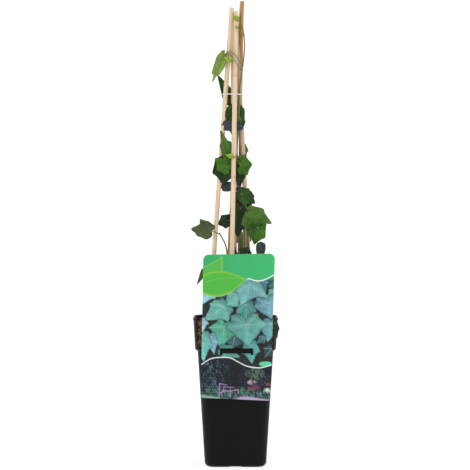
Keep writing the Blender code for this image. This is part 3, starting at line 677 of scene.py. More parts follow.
def turned(skin, quarter):
    """The skin turned about the pot's middle by quarter turns."""
    cos, sin = round(np.cos(quarter * np.pi / 2)), round(np.sin(quarter * np.pi / 2))
    return skin._replace(points=skin.points @ np.array([[cos, sin, 0], [-sin, cos, 0], [0, 0, 1]]))


def build_pot():
    """Rounded squares carried up the pot's profile, then the collar's cut-away, the foot's notches,
    the drain holes and the label's tab."""
    half, height, inset = pot_profile()
    ring = rounded_square(half, corner_radius(half, inset))
    levels = np.broadcast_to(height[:, None, None], ring.shape[:2] + (1,))
    skin = shell(np.concatenate([ring, levels], -1))
    pot = add_piece("moulded_pot", skin, pot_plastic(), ["pot"])
    side, sill, top = RIM_HALF - OPENING_INSET, COLLAR_FOOT + OPENING_SILL, POT_HEIGHT + CLEAR
    opening = np.array([(-side, sill), (side, sill), (side, top), (-side, top)])
    opening = softened(opening[[0, 1, 2, 3, 0, 1]], OPENING_CHAMFER, 5)[1:-1]
    cuts = [(prism(opening, -RIM_HALF - CLEAR, -RIM_HALF + OPENING_DEPTH), "DIFFERENCE")]
    half = NOTCH_WIDTH / 2
    short = half - NOTCH_HEIGHT
    notch = [(-half, -CLEAR), (half, -CLEAR), (short, NOTCH_HEIGHT), (-short, NOTCH_HEIGHT)]
    foot_cut = prism(notch, -BASE_HALF - CLEAR, -BASE_HALF + NOTCH_DEPTH)
    middle = DRAIN_SPACING / np.sqrt(2)
    hole = np.array([(middle, middle, -CLEAR), (middle, middle, FLOOR + CLEAR)])
    hole = shell(rings_along(hole, [DRAIN_RADIUS] * 2, 24, np.array([1.0, 0, 0])))
    cuts += [(turned(skin, quarter), "DIFFERENCE") for quarter in range(4) for skin in (foot_cut, hole)]
    low, high = TAB_Z - TAB_HEIGHT / 2, TAB_Z + TAB_HEIGHT / 2
    left, right = TAB_CENTRE - TAB_WIDTH / 2, TAB_CENTRE + TAB_WIDTH / 2
    root = POT_WALL / 2 - COLLAR_HALF
    tab = prism([(left, low), (right, low), (right, high), (left, high)], root - TAB_LENGTH, root)
    cuts.append((tab, "UNION"))
    carved(pot, cuts)


# Label


def label_outline():
    """The card's outline in x and z, with each corner rounded by an arc."""
    low, high = LABEL_BOTTOM_WIDTH / 2, LABEL_TOP_WIDTH / 2
    corners = np.array([
        (-low, LABEL_BOTTOM + LABEL_BOTTOM_SLOPE), (low, LABEL_BOTTOM - LABEL_BOTTOM_SLOPE),
        (LABEL_LEAN + high, LABEL_TOP + LABEL_TOP_SLOPE), (LABEL_LEAN - high, LABEL_TOP - LABEL_TOP_SLOPE),
    ])
    back, ahead = unit(np.roll(corners, 1, 0) - corners), unit(np.roll(corners, -1, 0) - corners)
    half_angle = np.arccos((back * ahead).sum(-1)) / 2
    radii = np.array(LABEL_CORNERS)
    middle = corners + unit(back + ahead) * (radii / np.sin(half_angle))[:, None]
    reach = (radii / np.tan(half_angle))[:, None]
    share = np.linspace(0, 1, 13)[None, :, None]
    first, last = (corners + back * reach - middle)[:, None], (corners + ahead * reach - middle)[:, None]
    way = first * (1 - share) + last * share
    return (middle[:, None] + unit(way) * radii[:, None, None]).reshape(-1, 2)


def slot_outline():
    """The label's slot in x and z: a long one with a hook down at each end."""
    x, z = SLOT_HALF
    hook, depth = SLOT_HOOK
    half = [(x, z), (x, -z - depth), (x - hook, -z - depth), (x - hook, -z)]
    return np.array([(-x, z) for x, z in half] + half[::-1]) + (TAB_CENTRE, TAB_Z)


def print_grid():
    """The print's grid in x and z, square lines that are held inside the card's outline.

    Rows and columns pass through the slot's edges. A point beyond the outline is moved level, or at
    the top and bottom edges straight up or down, onto it.
    """
    outline, slot = label_outline(), slot_outline()
    low, high = outline.min(0), outline.max(0)
    columns = np.union1d(np.arange(low[0], high[0], PRINT_STEP), np.append(slot[:, 0], high[0]))
    rows = np.union1d(np.arange(low[1], high[1], PRINT_STEP), np.append(slot[:, 1], high[1]))
    x, z = np.meshgrid(columns, rows, indexing="ij")
    around = np.concatenate([outline, outline[:1]])
    right = around[:, 0] > LABEL_LEAN * (around[:, 1] - LABEL_BOTTOM) / (LABEL_TOP - LABEL_BOTTOM)
    left, right = (part[np.argsort(part[:, 1], kind="stable")] for part in (around[~right], around[right]))
    floor, ceiling = (np.interp(x, *np.stack([left[end], right[end]], -1)) for end in (0, -1))
    z = np.clip(z, floor, ceiling)
    return np.clip(x, np.interp(z, *left.T[::-1]), np.interp(z, *right.T[::-1])), z


def lobe_reach(angles, lobes, point):
    """A blade's edge, as a share of its length, at angles from the midrib: pointed lobes blended.

    Each lobe has straight sides out to where they run square to the way from the foot, and fades
    past there. An 8-norm blends the lobes, and the blade is cleft at its foot.
    """
    total = np.zeros_like(angles)
    for centre, length, blunter in lobes:
        off = np.abs((angles - centre + 180) % 360 - 180)
        half = point + blunter
        past = np.maximum(off + half - 90, 0)
        side = np.sin(np.radians(np.minimum(off + half, 90)))
        edge = length * np.sin(np.radians(half)) / side * bell(past, LOBE_FADE)
        total += edge**LOBE_BLEND
    cleft = 1 - CLEFT * bell(np.abs(angles) - 180, CLEFT_SPREAD)
    return total ** (1 / LOBE_BLEND) * cleft


def rgb(red, green, blue):
    """A screen colour from 0 to 255 as light."""
    return (np.array([red, green, blue]) / 255) ** 2.2


def inside(distance, edge=0.5):
    """1 where the distance inside a shape is positive and 0 outside, with a soft edge."""
    return np.clip(0.5 + distance / edge, 0, 1)


class Print:
    """The label's colours on its grid, painted from back to front."""

    def __init__(self, x, z):
        self.x, self.z = x, z
        self.flat = np.stack([x, z], -1)
        self.ink = np.zeros(x.shape + (3,))

    def paint(self, mask, colour):
        self.ink += (colour - self.ink) * mask[..., None]

    def line(self, points):
        """The height at x of a smooth line through the points."""
        return np.interp(self.x, *smooth_path(points, 8).T)

    def stroke(self, points, width, colour):
        """A line of this width through the points."""
        near = np.full(self.x.shape, np.inf)
        for a, b in zip(np.array(points, float)[:-1], np.array(points, float)[1:]):
            share = np.clip(((self.flat - a) @ (b - a)) / ((b - a) @ (b - a)), 0, 1)
            near = np.minimum(near, np.linalg.norm(self.flat - a - share[..., None] * (b - a), axis=-1))
        self.paint(inside(width / 2 - near), colour)

    def leaf(self, foot, reach, width, tone, shade, lobes):
        """A printed ivy leaf: its shadow, then crinkled flesh that is lit from one side and darkens to
        its edge, then pale veins from the foot to the lobes and their side veins."""
        size = np.hypot(*reach)
        along = np.array(reach) / size
        away = self.flat - foot
        u, v = away @ (along[1], -along[0]) / width, away @ along
        r, angle = np.hypot(u, v), np.degrees(np.arctan2(u, v))
        edge = lobe_reach(angle, LOBES[lobes], PRINT_POINT) * size
        shadow = np.clip((edge - r + 2.6) / 5, 0, 1) * (r < edge + 3)
        self.paint(shadow * 0.75, rgb(40, 26, 34))
        ribs = np.array([centre for centre, length, _ in LOBES[lobes] if length > 0.5])
        off = np.abs((angle[..., None] - ribs + 180) % 360 - 180).min(-1)
        beside = r * np.sin(np.radians(np.minimum(off, 90)))
        light = 0.78 + 0.36 * np.sin(np.radians(angle) + shade) * np.minimum(r / size, 1)
        light += 0.13 * ripple(self.flat, 5.0, 7) + 0.192 * ripple(self.flat, 1.5, int(10 * size))
        light += 0.16 * bell(beside - 2.2, 1.6) - 0.34 * bell(edge - r, 1.3)
        blade = inside(edge - r)
        self.paint(blade, tone * light.clip(0.2, 1.6)[..., None])
        side_veins = np.abs((r - beside) / VEIN_GAP % 1 - 0.5) * VEIN_GAP
        veins = 0.16 * inside(0.2 - side_veins, 0.6) * (beside > 0.3)
        veins = np.maximum(veins, 0.65 * inside(0.36 * (1 - 0.7 * r / size) - beside, 0.6))
        self.paint(veins * blade, tone * 0.5 + 0.42)


# Foot, reach, width, colour, side that the light comes from, lobes
PRINT_LEAVES = table("""
50,244 -15,-5 0.7 46,146,110 0.4 ivy
50,234 -6,-14 0.7 38,112,96 0 ivy
26,238 12,-22 0.9 64,128,140 0.8 ivy
-4,226 -18,-12 0.6 44,82,78 0.8 ivy
50,223 -11,-7 0.9 88,166,154 0.2 ivy
40,216 -17,-7 0.5 92,160,154 1.4 ivy
41.3,209 4,-20 1 104,158,172 2.2 wide
-36,226 -5,-18 1.2 134,190,200 1.2 ivy
4,220 -18,-17 0.9 102,170,160 2.4 ivy
-14,204.3 -26.4,-17.3 1 98,168,154 1.8 slanted
13.1,208 1.1,-25 0.85 68,136,126 1 ivy
18.6,232.5 -12.3,-26.4 1 106,164,164 2 left_wing
0,172 -4,-20 1.4 56,98,106 0.6 wide
37,166 -11,-8 0.7 48,102,104 0.3 ivy
46,152 -10,-12 0.9 42,82,78 0 ivy
44.2,184 -3.6,-24 0.9 98,158,164 2.8 ivy
-13.6,179.7 -6.2,-26.8 1 80,162,136 0.9 right_wing
-16,150 22,-9 0.7 78,154,136 0.5 ivy
-45,187 4,-15 1.1 146,190,204 0.7 ivy
-30.3,167 3.5,-23 0.55 112,160,182 1.6 ivy
-42,167 2,-32 0.62 106,184,170 1.1 ivy
18.2,157 2.5,-24 0.8 82,160,150 1.9 ivy
13.5,181.9 2.5,-26.8 1 94,162,152 2.1 wide
""")
GREEN = rgb(64, 176, 108)
# Curves of the print, each a row of places: the garden's top, then the heading's foot, the leaf's top,
# the bract's top and the leaf's rib
WAVE, *HEADING = table("""
-50,127 -43,131.8 -31.4,139 -17.8,140.9 -6.3,140 3.3,135.1 13,130.3 22.7,128.1 32.2,127.9 45.2,131.3 54,135
-60,228 -40.9,221.2 -31.4,218.3 -21.7,217.8 -12.1,220.2 -4.4,223.6 3.3,229.9 \
11.1,236 16.6,239.8 24,237.6 30,237.2 38,239.2 49.8,245.4 60,252
-60,236 -40.9,244.4 -31.4,248.1 -19.8,249.3 -8.2,248 3.3,243.8 16.6,239.8 60,239
-60,240 -40.9,253.9 -31.4,258.7 -20.8,264.8 -16.2,268.5 60,300
-60,226 -40.9,235 -20,240 0,240.5 16.6,239.8 60,239
""")
# A garden chair's bars: width, places
CHAIR = table("""
0.8 -20.5,91 -20.2,108 -11,106
1.2 -20,95.5 -15,98.8 -7,98.4 -6.5,91
0.7 -15.5,98.5 -15,104 -6.5,103
0.9 -6.5,98 3,100.5 3.5,95
0.7 -6.8,98 -6.2,103.5 -2,103
0.7 -17.5,98 -17,91
""")
# Flowers: place, size, colour
FLOWERS = table("""
20,109.5 4.2 206,176,190
25,103 4.6 140,74,102
18,101 3.2 118,70,96
41,99 4.4 198,214,202
41,107 2.6 196,92,112
31,95 3.0 100,132,172
""")


def label_print(x, z):
    """The label's picture: ivy leaves, a green heading with a two-leaf sign, and a garden at the foot,
    parted by two white curves."""
    page = Print(x, z)
    page.ink[:] = rgb(42, 32, 38)
    page.paint(np.clip(0.5 + ripple(page.flat, 9.0, 3), 0, 1) * 0.5, rgb(38, 62, 60))
    for foot, reach, width, tone, shade, lobes in PRINT_LEAVES:
        page.leaf(np.array(foot), reach, width, rgb(*tone), shade, lobes)
    page.paint(inside(3.2 - np.hypot((x - 38) / 2.6, z - 132.5)), rgb(84, 205, 150))

    wave = page.line(WAVE)
    garden(page, inside(wave - z))
    page.paint(inside(0.62 - np.abs(z - wave)), rgb(236, 240, 240))

    low, high, crest, rib = (page.line(points) for points in HEADING)
    page.paint(inside(z - low), GREEN * (0.94 + 0.08 * (x / 45)[..., None]))
    page.paint(inside(0.7 - np.abs(z - low)) * inside(x - 14), rgb(236, 244, 238))
    page.paint(inside(0.7 - np.abs(z - low)) * inside(-4 - x) * 0.6, rgb(178, 214, 128))
    bract = inside(crest - z) * inside(z - high) * inside(-16.2 - x)
    page.paint(bract, rgb(84, 176, 78))
    page.paint(bract * np.clip(1 - (-16.2 - x) / 3.5, 0, 1) * 0.8, rgb(132, 196, 76))
    page.paint(bract * bell(crest - z, 1.1) * 0.7, rgb(140, 200, 90))
    blade = inside(high - z) * inside(z - low) * inside(16.6 - x)
    page.paint(blade, rgb(78, 176, 66))
    rim = bell(np.minimum(high - z, z - low), 1.8)
    page.paint(blade * rim * 0.85, rgb(142, 194, 58))
    page.paint(blade * bell(z - rib, 0.6) * 0.3, rgb(150, 200, 80))
    return page.ink


def garden(page, ground):
    """A shady garden: dark foliage with cool specks, a pink path, a garden chair and flowers."""
    x, z = page.x, page.z
    speck = ripple(page.flat, 2.2, 11) * 0.6 + ripple(page.flat, 1.3, 12) * 0.6
    page.paint(ground, rgb(30, 28, 38))
    leafy = np.clip(1.1 - np.abs(x + 30) / 26, 0, 1) + np.clip(1.0 - np.abs(x - 26) / 24, 0, 1) * 0.9
    page.paint(ground * np.clip(speck - 0.1, 0, 1) * leafy, rgb(96, 128, 150))
    page.paint(ground * np.clip(ripple(page.flat, 2.6, 13) - 0.3, 0, 1) * leafy, rgb(58, 104, 96))
    bush = inside(9 - np.hypot((x - 24) * 0.9, z - 122), 5)
    page.paint(ground * bush * np.clip(0.4 + speck, 0, 1) * 0.8, rgb(104, 134, 108))
    grass = inside(101 + 2 * np.sin(x / 6) - z, 4)
    page.paint(ground * grass * np.clip(0.35 + speck, 0, 1) * 0.7, rgb(92, 142, 120))
    low = LABEL_BOTTOM - LABEL_BOTTOM_SLOPE * 2 * x / LABEL_BOTTOM_WIDTH
    path = inside(low + 2.6 + 1.2 * np.sin(x / 9) - z, 1.5)
    page.paint(ground * path * inside(x - 2, 8), rgb(176, 150, 196))
    page.paint(ground * path * inside(-20 - x, 6) * 0.7, rgb(150, 176, 172))
    for width, *points in CHAIR:
        page.stroke(points, width, rgb(176, 132, 180))
    for at, size, colour in FLOWERS:
        near = np.linalg.norm((page.flat - at) * (0.7, 1.2), axis=-1)
        petals = inside(size - near - 3.0 * np.abs(ripple(page.flat, 2.0, 14)), 1.5)
        page.paint(ground * petals * np.clip(0.75 + 0.6 * speck, 0, 1), rgb(*colour))


def build_label():
    """The card with its slot, and the print as a thin sheet just before it, left out over the slot."""
    outline = label_outline()
    card = prism(outline, LABEL_BACK - LABEL_THICKNESS, LABEL_BACK)
    card = add_piece("label_card", card, label_card(), ["label"])
    hole = prism(slot_outline(), LABEL_BACK - LABEL_THICKNESS - CLEAR, LABEL_BACK + CLEAR)
    carved(card, [(hole, "DIFFERENCE")])

    x, z = print_grid()
    front = LABEL_BACK - LABEL_THICKNESS - PRINT_PROUD
    points = np.stack([x, np.full(x.shape, front), z], -1)
    faces = quads_over(*x.shape, round_columns=False)[:, [0, 3, 2, 1]]
    a, b, c, d = (points.reshape(-1, 3)[faces[:, k]] for k in range(4))
    area = np.linalg.norm(np.cross(c - a, d - b), axis=-1)
    middle = (a + b + c + d) / 4 - (TAB_CENTRE, 0, TAB_Z)
    half_x, half_z = SLOT_HALF
    hook, depth = SLOT_HOOK
    x_off, z_off = np.abs(middle[:, 0]), middle[:, 2]
    in_slot = (x_off < half_x) & (np.abs(z_off) < half_z)
    beside, below = np.abs(x_off - half_x + hook / 2), np.abs(z_off + half_z + depth / 2)
    in_hook = (beside < hook / 2) & (below < depth / 2)
    kept = faces[~(in_slot | in_hook) & (area > NO_AREA)]
    used, kept = np.unique(kept, return_inverse=True)
    ink = label_print(x, z).reshape(-1, 3)[used]
    sheet = Skin(points.reshape(-1, 3)[used], [kept.reshape(-1, 4)], {"ink": ink})
    add_piece("label_print", sheet, label_ink())


# Canes and tie


def cane_point(name, rise):
    """Points on a cane's centre line, a straight one from its foot to its top, at heights above the
    compost."""
    cane = CANES[name]
    share = np.asarray(rise, float)[..., None] / cane.length
    level = np.array(cane.foot) * (1 - share) + np.array(cane.top) * share
    return np.concatenate([level, COMPOST_TOP + share * cane.length], -1)


BAMBOO = {  # light fibres, dark fibres, nodes and patches
    "pale": ((0.86, 0.68, 0.47), (0.64, 0.46, 0.30), (0.52, 0.35, 0.18)),
    "tan": ((0.66, 0.47, 0.31), (0.46, 0.30, 0.19), (0.32, 0.20, 0.12)),
    "brown": ((0.66, 0.38, 0.14), (0.30, 0.13, 0.030), (0.17, 0.065, 0.017)),
}
NODE_SWELL, SWELL_REACH = 0.07, 1.6
NODE_GROOVE, GROOVE_REACH, GROOVE_DROP = 0.03, 0.8, 2.2
CUT_EDGE = 0.25


def build_canes():
    """Bamboo: circles along a straight line, which swell at each node and have a groove below it."""
    tones = {tone: bamboo(f"bamboo_{tone}", *looks) for tone, looks in BAMBOO.items()}
    for name, cane in CANES.items():
        nodes = np.array(cane.nodes)
        steps = [np.arange(-CANE_FOOT, cane.length, 4.0), [cane.length]] + [nodes + k for k in range(-3, 3)]
        rise = np.unique(np.concatenate(steps))
        off = rise[:, None] - nodes
        swell = bell(off, SWELL_REACH).sum(-1)
        groove = bell(off + GROOVE_DROP, GROOVE_REACH).sum(-1)
        radii = CANE_RADIUS * (1 + NODE_SWELL * swell - NODE_GROOVE * groove)
        radii[-1] -= CUT_EDGE
        rise = np.append(rise, [cane.length + 0.2, cane.length + 0.2])
        radii = np.append(radii, [CANE_RADIUS - 0.5, 1.0])
        rings = rings_along(cane_point(name, rise), radii, CANE_SIDES, np.array([1.0, 0, 0]))
        ring = np.append(groove + 0.4 * swell, [0, 0])[:, None]
        # Painted shade at the sawn end's middle, standing in for the hollow.
        pith = np.append(np.zeros(len(rise) - 1), 1.0)[:, None]
        skin = shell(rings, ring=ring, pith=pith)
        add_piece(f"bamboo_{name}", skin, tones[cane.finish], [f"cane_{name}"], sharp=50)


def build_tie():
    """A band drawn tight round the canes and the main stem: at each direction the furthest of their
    circles, and along that loop a small circle that tilts a little with x."""
    rounds = [(cane_point(name, TIE_RISE)[:2], CANE_RADIUS) for name in CANES]
    rounds.append((stem_point("main", TIE_RISE)[:2], STEMS["main"].radii[0]))
    centres = np.array([centre for centre, _ in rounds])
    radii = np.array([radius for _, radius in rounds]) + GAP / 2 + TIE_RADIUS
    way = circle(TIE_DIRECTIONS)
    furthest = (way @ centres.T + radii).argmax(-1)
    loop = centres[furthest] + way * radii[furthest][:, None]
    ahead = np.linalg.norm(np.roll(loop, -1, 0) - loop, axis=-1)
    length = np.concatenate([[0], np.cumsum(ahead)])
    spread = np.linspace(0, length[-1], TIE_STEPS, endpoint=False)
    closed = np.concatenate([loop, loop[:1]])
    loop = np.stack([np.interp(spread, length, closed[:, k]) for k in range(2)], -1)
    along = unit(np.roll(loop, -1, 0) - np.roll(loop, 1, 0))
    out = np.stack([along[:, 1], -along[:, 0]], -1)
    turn = np.linspace(0, 2 * np.pi, TIE_SIDES, endpoint=False)
    level = loop[:, None] + out[:, None] * (TIE_RADIUS * np.cos(turn))[None, :, None]
    height = COMPOST_TOP + TIE_RISE + TIE_TILT * loop[:, :1] + TIE_RADIUS * TIE_TALL * np.sin(turn)
    rings = np.concatenate([level, height[..., None]], -1)
    faces = quads_over(*rings.shape[:2], round_rows=True)
    uv = np.stack(np.broadcast_arrays(spread[:, None], turn), -1).reshape(-1, 2)
    skin = Skin(rings.reshape(-1, 3), [faces[:, ::-1]], {"UV": uv})
    add_piece("elastic_band", skin, white_elastic(), ["cane_tie"])


# Plant


def stem_path(name, steps=10):
    """A smooth curve through the stem's points."""
    stem = STEMS[name]
    rise, x, y = np.array(stem.points, float).T
    aside = np.stack([x, y, np.zeros_like(x)], -1)
    return smooth_path(cane_point(stem.cane, rise) + aside, steps)


def stem_point(name, rise):
    """The place on a stem's centre line at a height above the compost."""
    path = stem_path(name, 3)
    return np.array([np.interp(rise, path[:, 2] - COMPOST_TOP, path[:, axis]) for axis in range(3)])


BARKS = {  # young and old bark
    "olive": ((0.17, 0.20, 0.05), (0.12, 0.11, 0.035)),
    "green": ((0.10, 0.17, 0.04), (0.10, 0.11, 0.035)),
    "dark": ((0.035, 0.06, 0.02), (0.03, 0.03, 0.015)),
    "woody": ((0.17, 0.10, 0.045), (0.12, 0.065, 0.035)),
}
STEM_SWELL, STEM_SWELL_REACH = 0.25, 1.5
STEM_SIDES, STALK_SIDES, STALK_STEPS = 14, 8, 22


def build_stems():
    """Round stems that taper along their path, and swell where a leaf's stalk leaves them."""
    barks = {tone: stem_bark(f"stem_{tone}", *looks) for tone, looks in BARKS.items()}
    for name, stem in STEMS.items():
        path = stem_path(name)
        path = np.concatenate([path[:1] - (0, 0, STEM_SOCKET), path])
        share = np.linspace(0, 1, len(path))
        radii = stem.radii[0] + (stem.radii[1] - stem.radii[0]) * share
        roots = np.array([leaf.root for leaf in LEAVES if leaf.stem == name], float)
        off = (path[:, 2] - COMPOST_TOP)[:, None] - roots
        radii = radii * (1 + STEM_SWELL * bell(off, STEM_SWELL_REACH).sum(-1).clip(0, 1))
        radii[-1] *= 0.6
        skin = shell(rings_along(path, radii, STEM_SIDES), along=share[:, None])
        add_piece(f"ivy_stem_{name}", skin, barks[stem.tone], [f"stem_{name}"])


def leaf_axes(leaf):
    """A blade's directions: across, along the midrib, and out of its upper face."""
    along = unit(np.array(leaf.reach, float))
    face = np.array(BACK_FACE if leaf.anchor == "back" else FRONT_FACE)
    out = unit(face - along * (face @ along))
    return np.cross(along, out), along, out


def leaf_foot(leaf):
    """The blade's foot: its offset from a cane, the front wall's middle or the front right corner."""
    if leaf.anchor in CANES:
        return cane_point(leaf.anchor, leaf.rise) + (*leaf.offset, 0.0)
    corner = INNER_HALF if leaf.anchor == "corner" else 0.0
    x, y = leaf.offset
    return np.array([x + corner, y - INNER_HALF, COMPOST_TOP + leaf.rise])


def blade(leaf, seed):
    """A lobed blade with an upper and a lower sheet that meet at its edge.

    On a grid of rings and spokes round the foot, the flat place is the lobe reach, averaged over ten
    degrees so that the tips are blunt, times the ring's share. The blade folds up from its midrib,
    bends back along it in an arc, sinks along each vein and swells between them, and waves more
    towards its edge.
    """
    size = np.linalg.norm(leaf.reach)
    across, along, out = leaf_axes(leaf)
    angles = np.linspace(-180, 180, LEAF_SPOKES, endpoint=False)
    share = np.linspace(0, 1, LEAF_RINGS + 1)[1:] ** 0.9
    share = np.concatenate([share, share[-2::-1]])[:, None]
    sheet = np.where(np.arange(len(share)) < LEAF_RINGS, 1.0, -1.0)[:, None]
    outline = [lobe_reach(angles + off, LOBES[leaf.lobes], leaf.point) for off in BLUNTING]
    reach = np.mean(outline, 0) * size * BLUNT_SWELL * share
    flat_u, v = reach * np.sin(np.radians(angles)), reach * np.cos(np.radians(angles))
    u = flat_u * leaf.width
    off = np.abs((angles / LOBE_SPACING + 0.5) % 1 - 0.5) * LOBE_SPACING
    beside = reach * np.sin(np.radians(off))
    relief = LEAF_HUMP * size * np.sin(np.radians(off) * 180 / LOBE_SPACING) * share
    relief = relief - VEIN_DEPTH * bell(beside, VEIN_WIDTH)
    turn = np.radians(angles)
    phases = np.random.default_rng(seed).uniform(0, 2 * np.pi, 3)
    waves = [tall * np.sin(n * turn + phase) for (tall, n), phase in zip(LEAF_WAVES, phases)]
    relief = relief + LEAF_WAVE * size * share**2 * sum(waves)
    thick = sheet * LEAF_THICKNESS / 2 * np.sqrt(1 - share**6)
    bend = leaf.curl * v / size
    bent_v = size / leaf.curl * np.sin(bend)
    spine = np.hypot(u, MIDRIB_ROUND) - MIDRIB_ROUND
    lift = relief + thick + leaf.fold * spine - size / leaf.curl * (1 - np.cos(bend))
    points = leaf_foot(leaf) + across * u[..., None] + along * bent_v[..., None] + out * lift[..., None]
    return shell(points, UV=np.stack([flat_u, v], -1), below=(sheet < 0) * 1.0, stalk=np.zeros((1, 1)))


def petiole(leaf):
    """The stalk from the stem's side to the blade's foot: a cubic curve that leaves the stem outward
    and a little up, and comes to the foot along the blade."""
    along = leaf_axes(leaf)[1]
    foot = leaf_foot(leaf)
    stem = stem_point(leaf.stem, leaf.root)
    away = unit((foot - stem) * (1, 1, 0))
    start = stem + away * STEMS[leaf.stem].radii[1] * 0.5
    stretch = np.linalg.norm(foot - start) * PETIOLE_STRETCH
    bow = np.array(leaf.bow, float)
    first = start + unit(away + (0, 0, PETIOLE_LIFT)) * stretch + bow
    second = foot - unit(along + away) * stretch + bow
    t = np.linspace(0, 1, STALK_STEPS)[:, None]
    path = start * (1 - t) ** 3 + first * 3 * t * (1 - t) ** 2 + second * 3 * t * t * (1 - t) + foot * t**3
    path = np.concatenate([path, [foot + along * 1.6]])
    share = np.linspace(0, 1, len(path))
    swell = 0.5 * np.exp(-share / 0.06) + 0.25 * np.exp((share - 1) / 0.05)
    radii = PETIOLE_RADIUS * (1 + swell)
    radii[-1] *= 0.4
    rings = rings_along(path, radii, STALK_SIDES)
    return shell(rings, UV=np.zeros((1, 1, 2)), below=np.zeros((1, 1)), stalk=np.ones((1, 1)))


LEAF_TONES = {  # light flesh, dark flesh, underside, gloss
    "dark": ((0.014, 0.036, 0.008), (0.005, 0.015, 0.004), (0.05, 0.09, 0.03), 0.34),
    "olive": ((0.088, 0.118, 0.040), (0.034, 0.055, 0.018), (0.08, 0.12, 0.04), 0.40),
    "deep": ((0.032, 0.080, 0.010), (0.011, 0.036, 0.005), (0.07, 0.12, 0.03), 0.34),
    "mid": ((0.078, 0.165, 0.022), (0.032, 0.092, 0.011), (0.10, 0.19, 0.05), 0.38),
    "bright": ((0.07, 0.20, 0.010), (0.03, 0.11, 0.005), (0.12, 0.23, 0.05), 0.36),
    "vivid": ((0.046, 0.150, 0.005), (0.014, 0.056, 0.003), (0.10, 0.21, 0.04), 0.32),
    "fresh": ((0.25, 0.36, 0.085), (0.10, 0.19, 0.024), (0.22, 0.32, 0.09), 0.34),
    "young": ((0.32, 0.42, 0.055), (0.20, 0.33, 0.030), (0.32, 0.42, 0.10), 0.42),
    # Painted reflection: this dull bluish tone stands in for the light's sheen on glossy leaves seen at a
    # grazing angle.
    "grey": ((0.040, 0.050, 0.054), (0.018, 0.026, 0.027), (0.05, 0.08, 0.06), 0.28),
}
LEAF_SEED = 100


def build_leaves():
    """Each leaf's blade and stalk, as one piece."""
    tones = {tone: ivy_leaf(f"leaf_{tone}", *looks) for tone, looks in LEAF_TONES.items()}
    for index, leaf in enumerate(LEAVES):
        skin = joined([blade(leaf, LEAF_SEED + index), petiole(leaf)])
        name = f"leaf_{leaf.name}"
        add_piece(f"ivy_{name}", skin, tones[leaf.tone], [name])


# Compost


def collar_inside(z):
    """Half width inside the collar at a height."""
    share = (z - COLLAR_FOOT) / (POT_HEIGHT - COLLAR_FOOT)
    return COLLAR_HALF + (RIM_HALF - COLLAR_HALF) * share - POT_WALL - GAP


def top_height(x, y):
    """The compost's surface: a low mound, lower at the wall, with lumps of three sizes."""
    level = np.stack(np.broadcast_arrays(x, y), -1)
    edge = np.maximum(np.abs(x), np.abs(y)) / collar_inside(COMPOST_TOP)
    lumps = ripple(level, 14.0, 21) + 0.6 * ripple(level, 5.0, 22) + 0.4 * ripple(level, 2.2, 23)
    return COMPOST_TOP + MOUND - WALL_DROP * edge**3 + COMPOST_ROUGHNESS * 0.6 * lumps


def build_compost():
    """A closed body that fills the pot: rounded squares up the wall, roughened where the collar is cut
    away, then shrinking squares over the lumpy top."""
    inset = POT_WALL + GAP
    low = np.array([FLOOR + GAP, LEDGE_FOOT, COLLAR_FOOT + 1.2])
    half = np.array([body_half(low[0]) - inset, BODY_HALF - inset, collar_inside(low[2])])
    wall_z = np.linspace(COLLAR_FOOT + 2, COMPOST_TOP - 2, WALL_ROWS)
    heights = np.concatenate([low, wall_z])
    halves = np.concatenate([half, collar_inside(wall_z)])
    walls = rounded_square(halves, corner_radius(halves, inset), COMPOST_CORNER_STEPS)
    share = np.linspace(1, 0.02, TOP_ROWS)[1:]
    level_halves = halves[-1] * share
    tops = rounded_square(level_halves, corner_radius(level_halves, 0.0), COMPOST_CORNER_STEPS)
    ring = np.concatenate([walls, tops])
    part = (np.arange(4) / 4)[:, None]
    ring = (ring[:, :, None] * (1 - part) + np.roll(ring, -1, 1)[:, :, None] * part).reshape(len(ring), -1, 2)
    z = np.empty(ring.shape[:2])
    z[: len(heights)] = heights[:, None]
    z[len(heights) :] = top_height(ring[len(heights) :, :, 0], ring[len(heights) :, :, 1])
    points = np.concatenate([ring, z[..., None]], -1)
    rough = 0.5 * (1 + ripple(points, 4.0, 24)) + 0.4 * ripple(points, 1.8, 25)
    wall = ((z > 151) & (np.arange(len(z))[:, None] < len(heights))) * 1.0
    points[..., :2] *= (1 - 0.022 * np.clip(rough, 0, 1.4) * wall)[..., None]
    add_piece("compost_body", shell(points), coir_compost(), ["compost"])


def repeated(points, faces):
    """The same faces over each of many sets of points, shape (sets, points, 3)."""
    shift = np.arange(len(points))[:, None, None] * points.shape[1]
    return Skin(points.reshape(-1, 3), [(part + shift).reshape(-1, part.shape[1]) for part in faces], {})


def many_tubes(paths, radii, sides):
    """Tubes along many short paths at once, shape (tubes, points, 3), closed at both ends."""
    rng = np.random.default_rng(31)
    aside = unit(rng.normal(size=(len(paths), 1, 3)))
    rings = rings_along(paths, radii, sides, aside)
    count = len(paths)
    points = np.concatenate([rings.reshape(count, -1, 3), rings[:, :1].mean(2), rings[:, -1:].mean(2)], 1)
    return repeated(points, shell(rings[0]).faces)


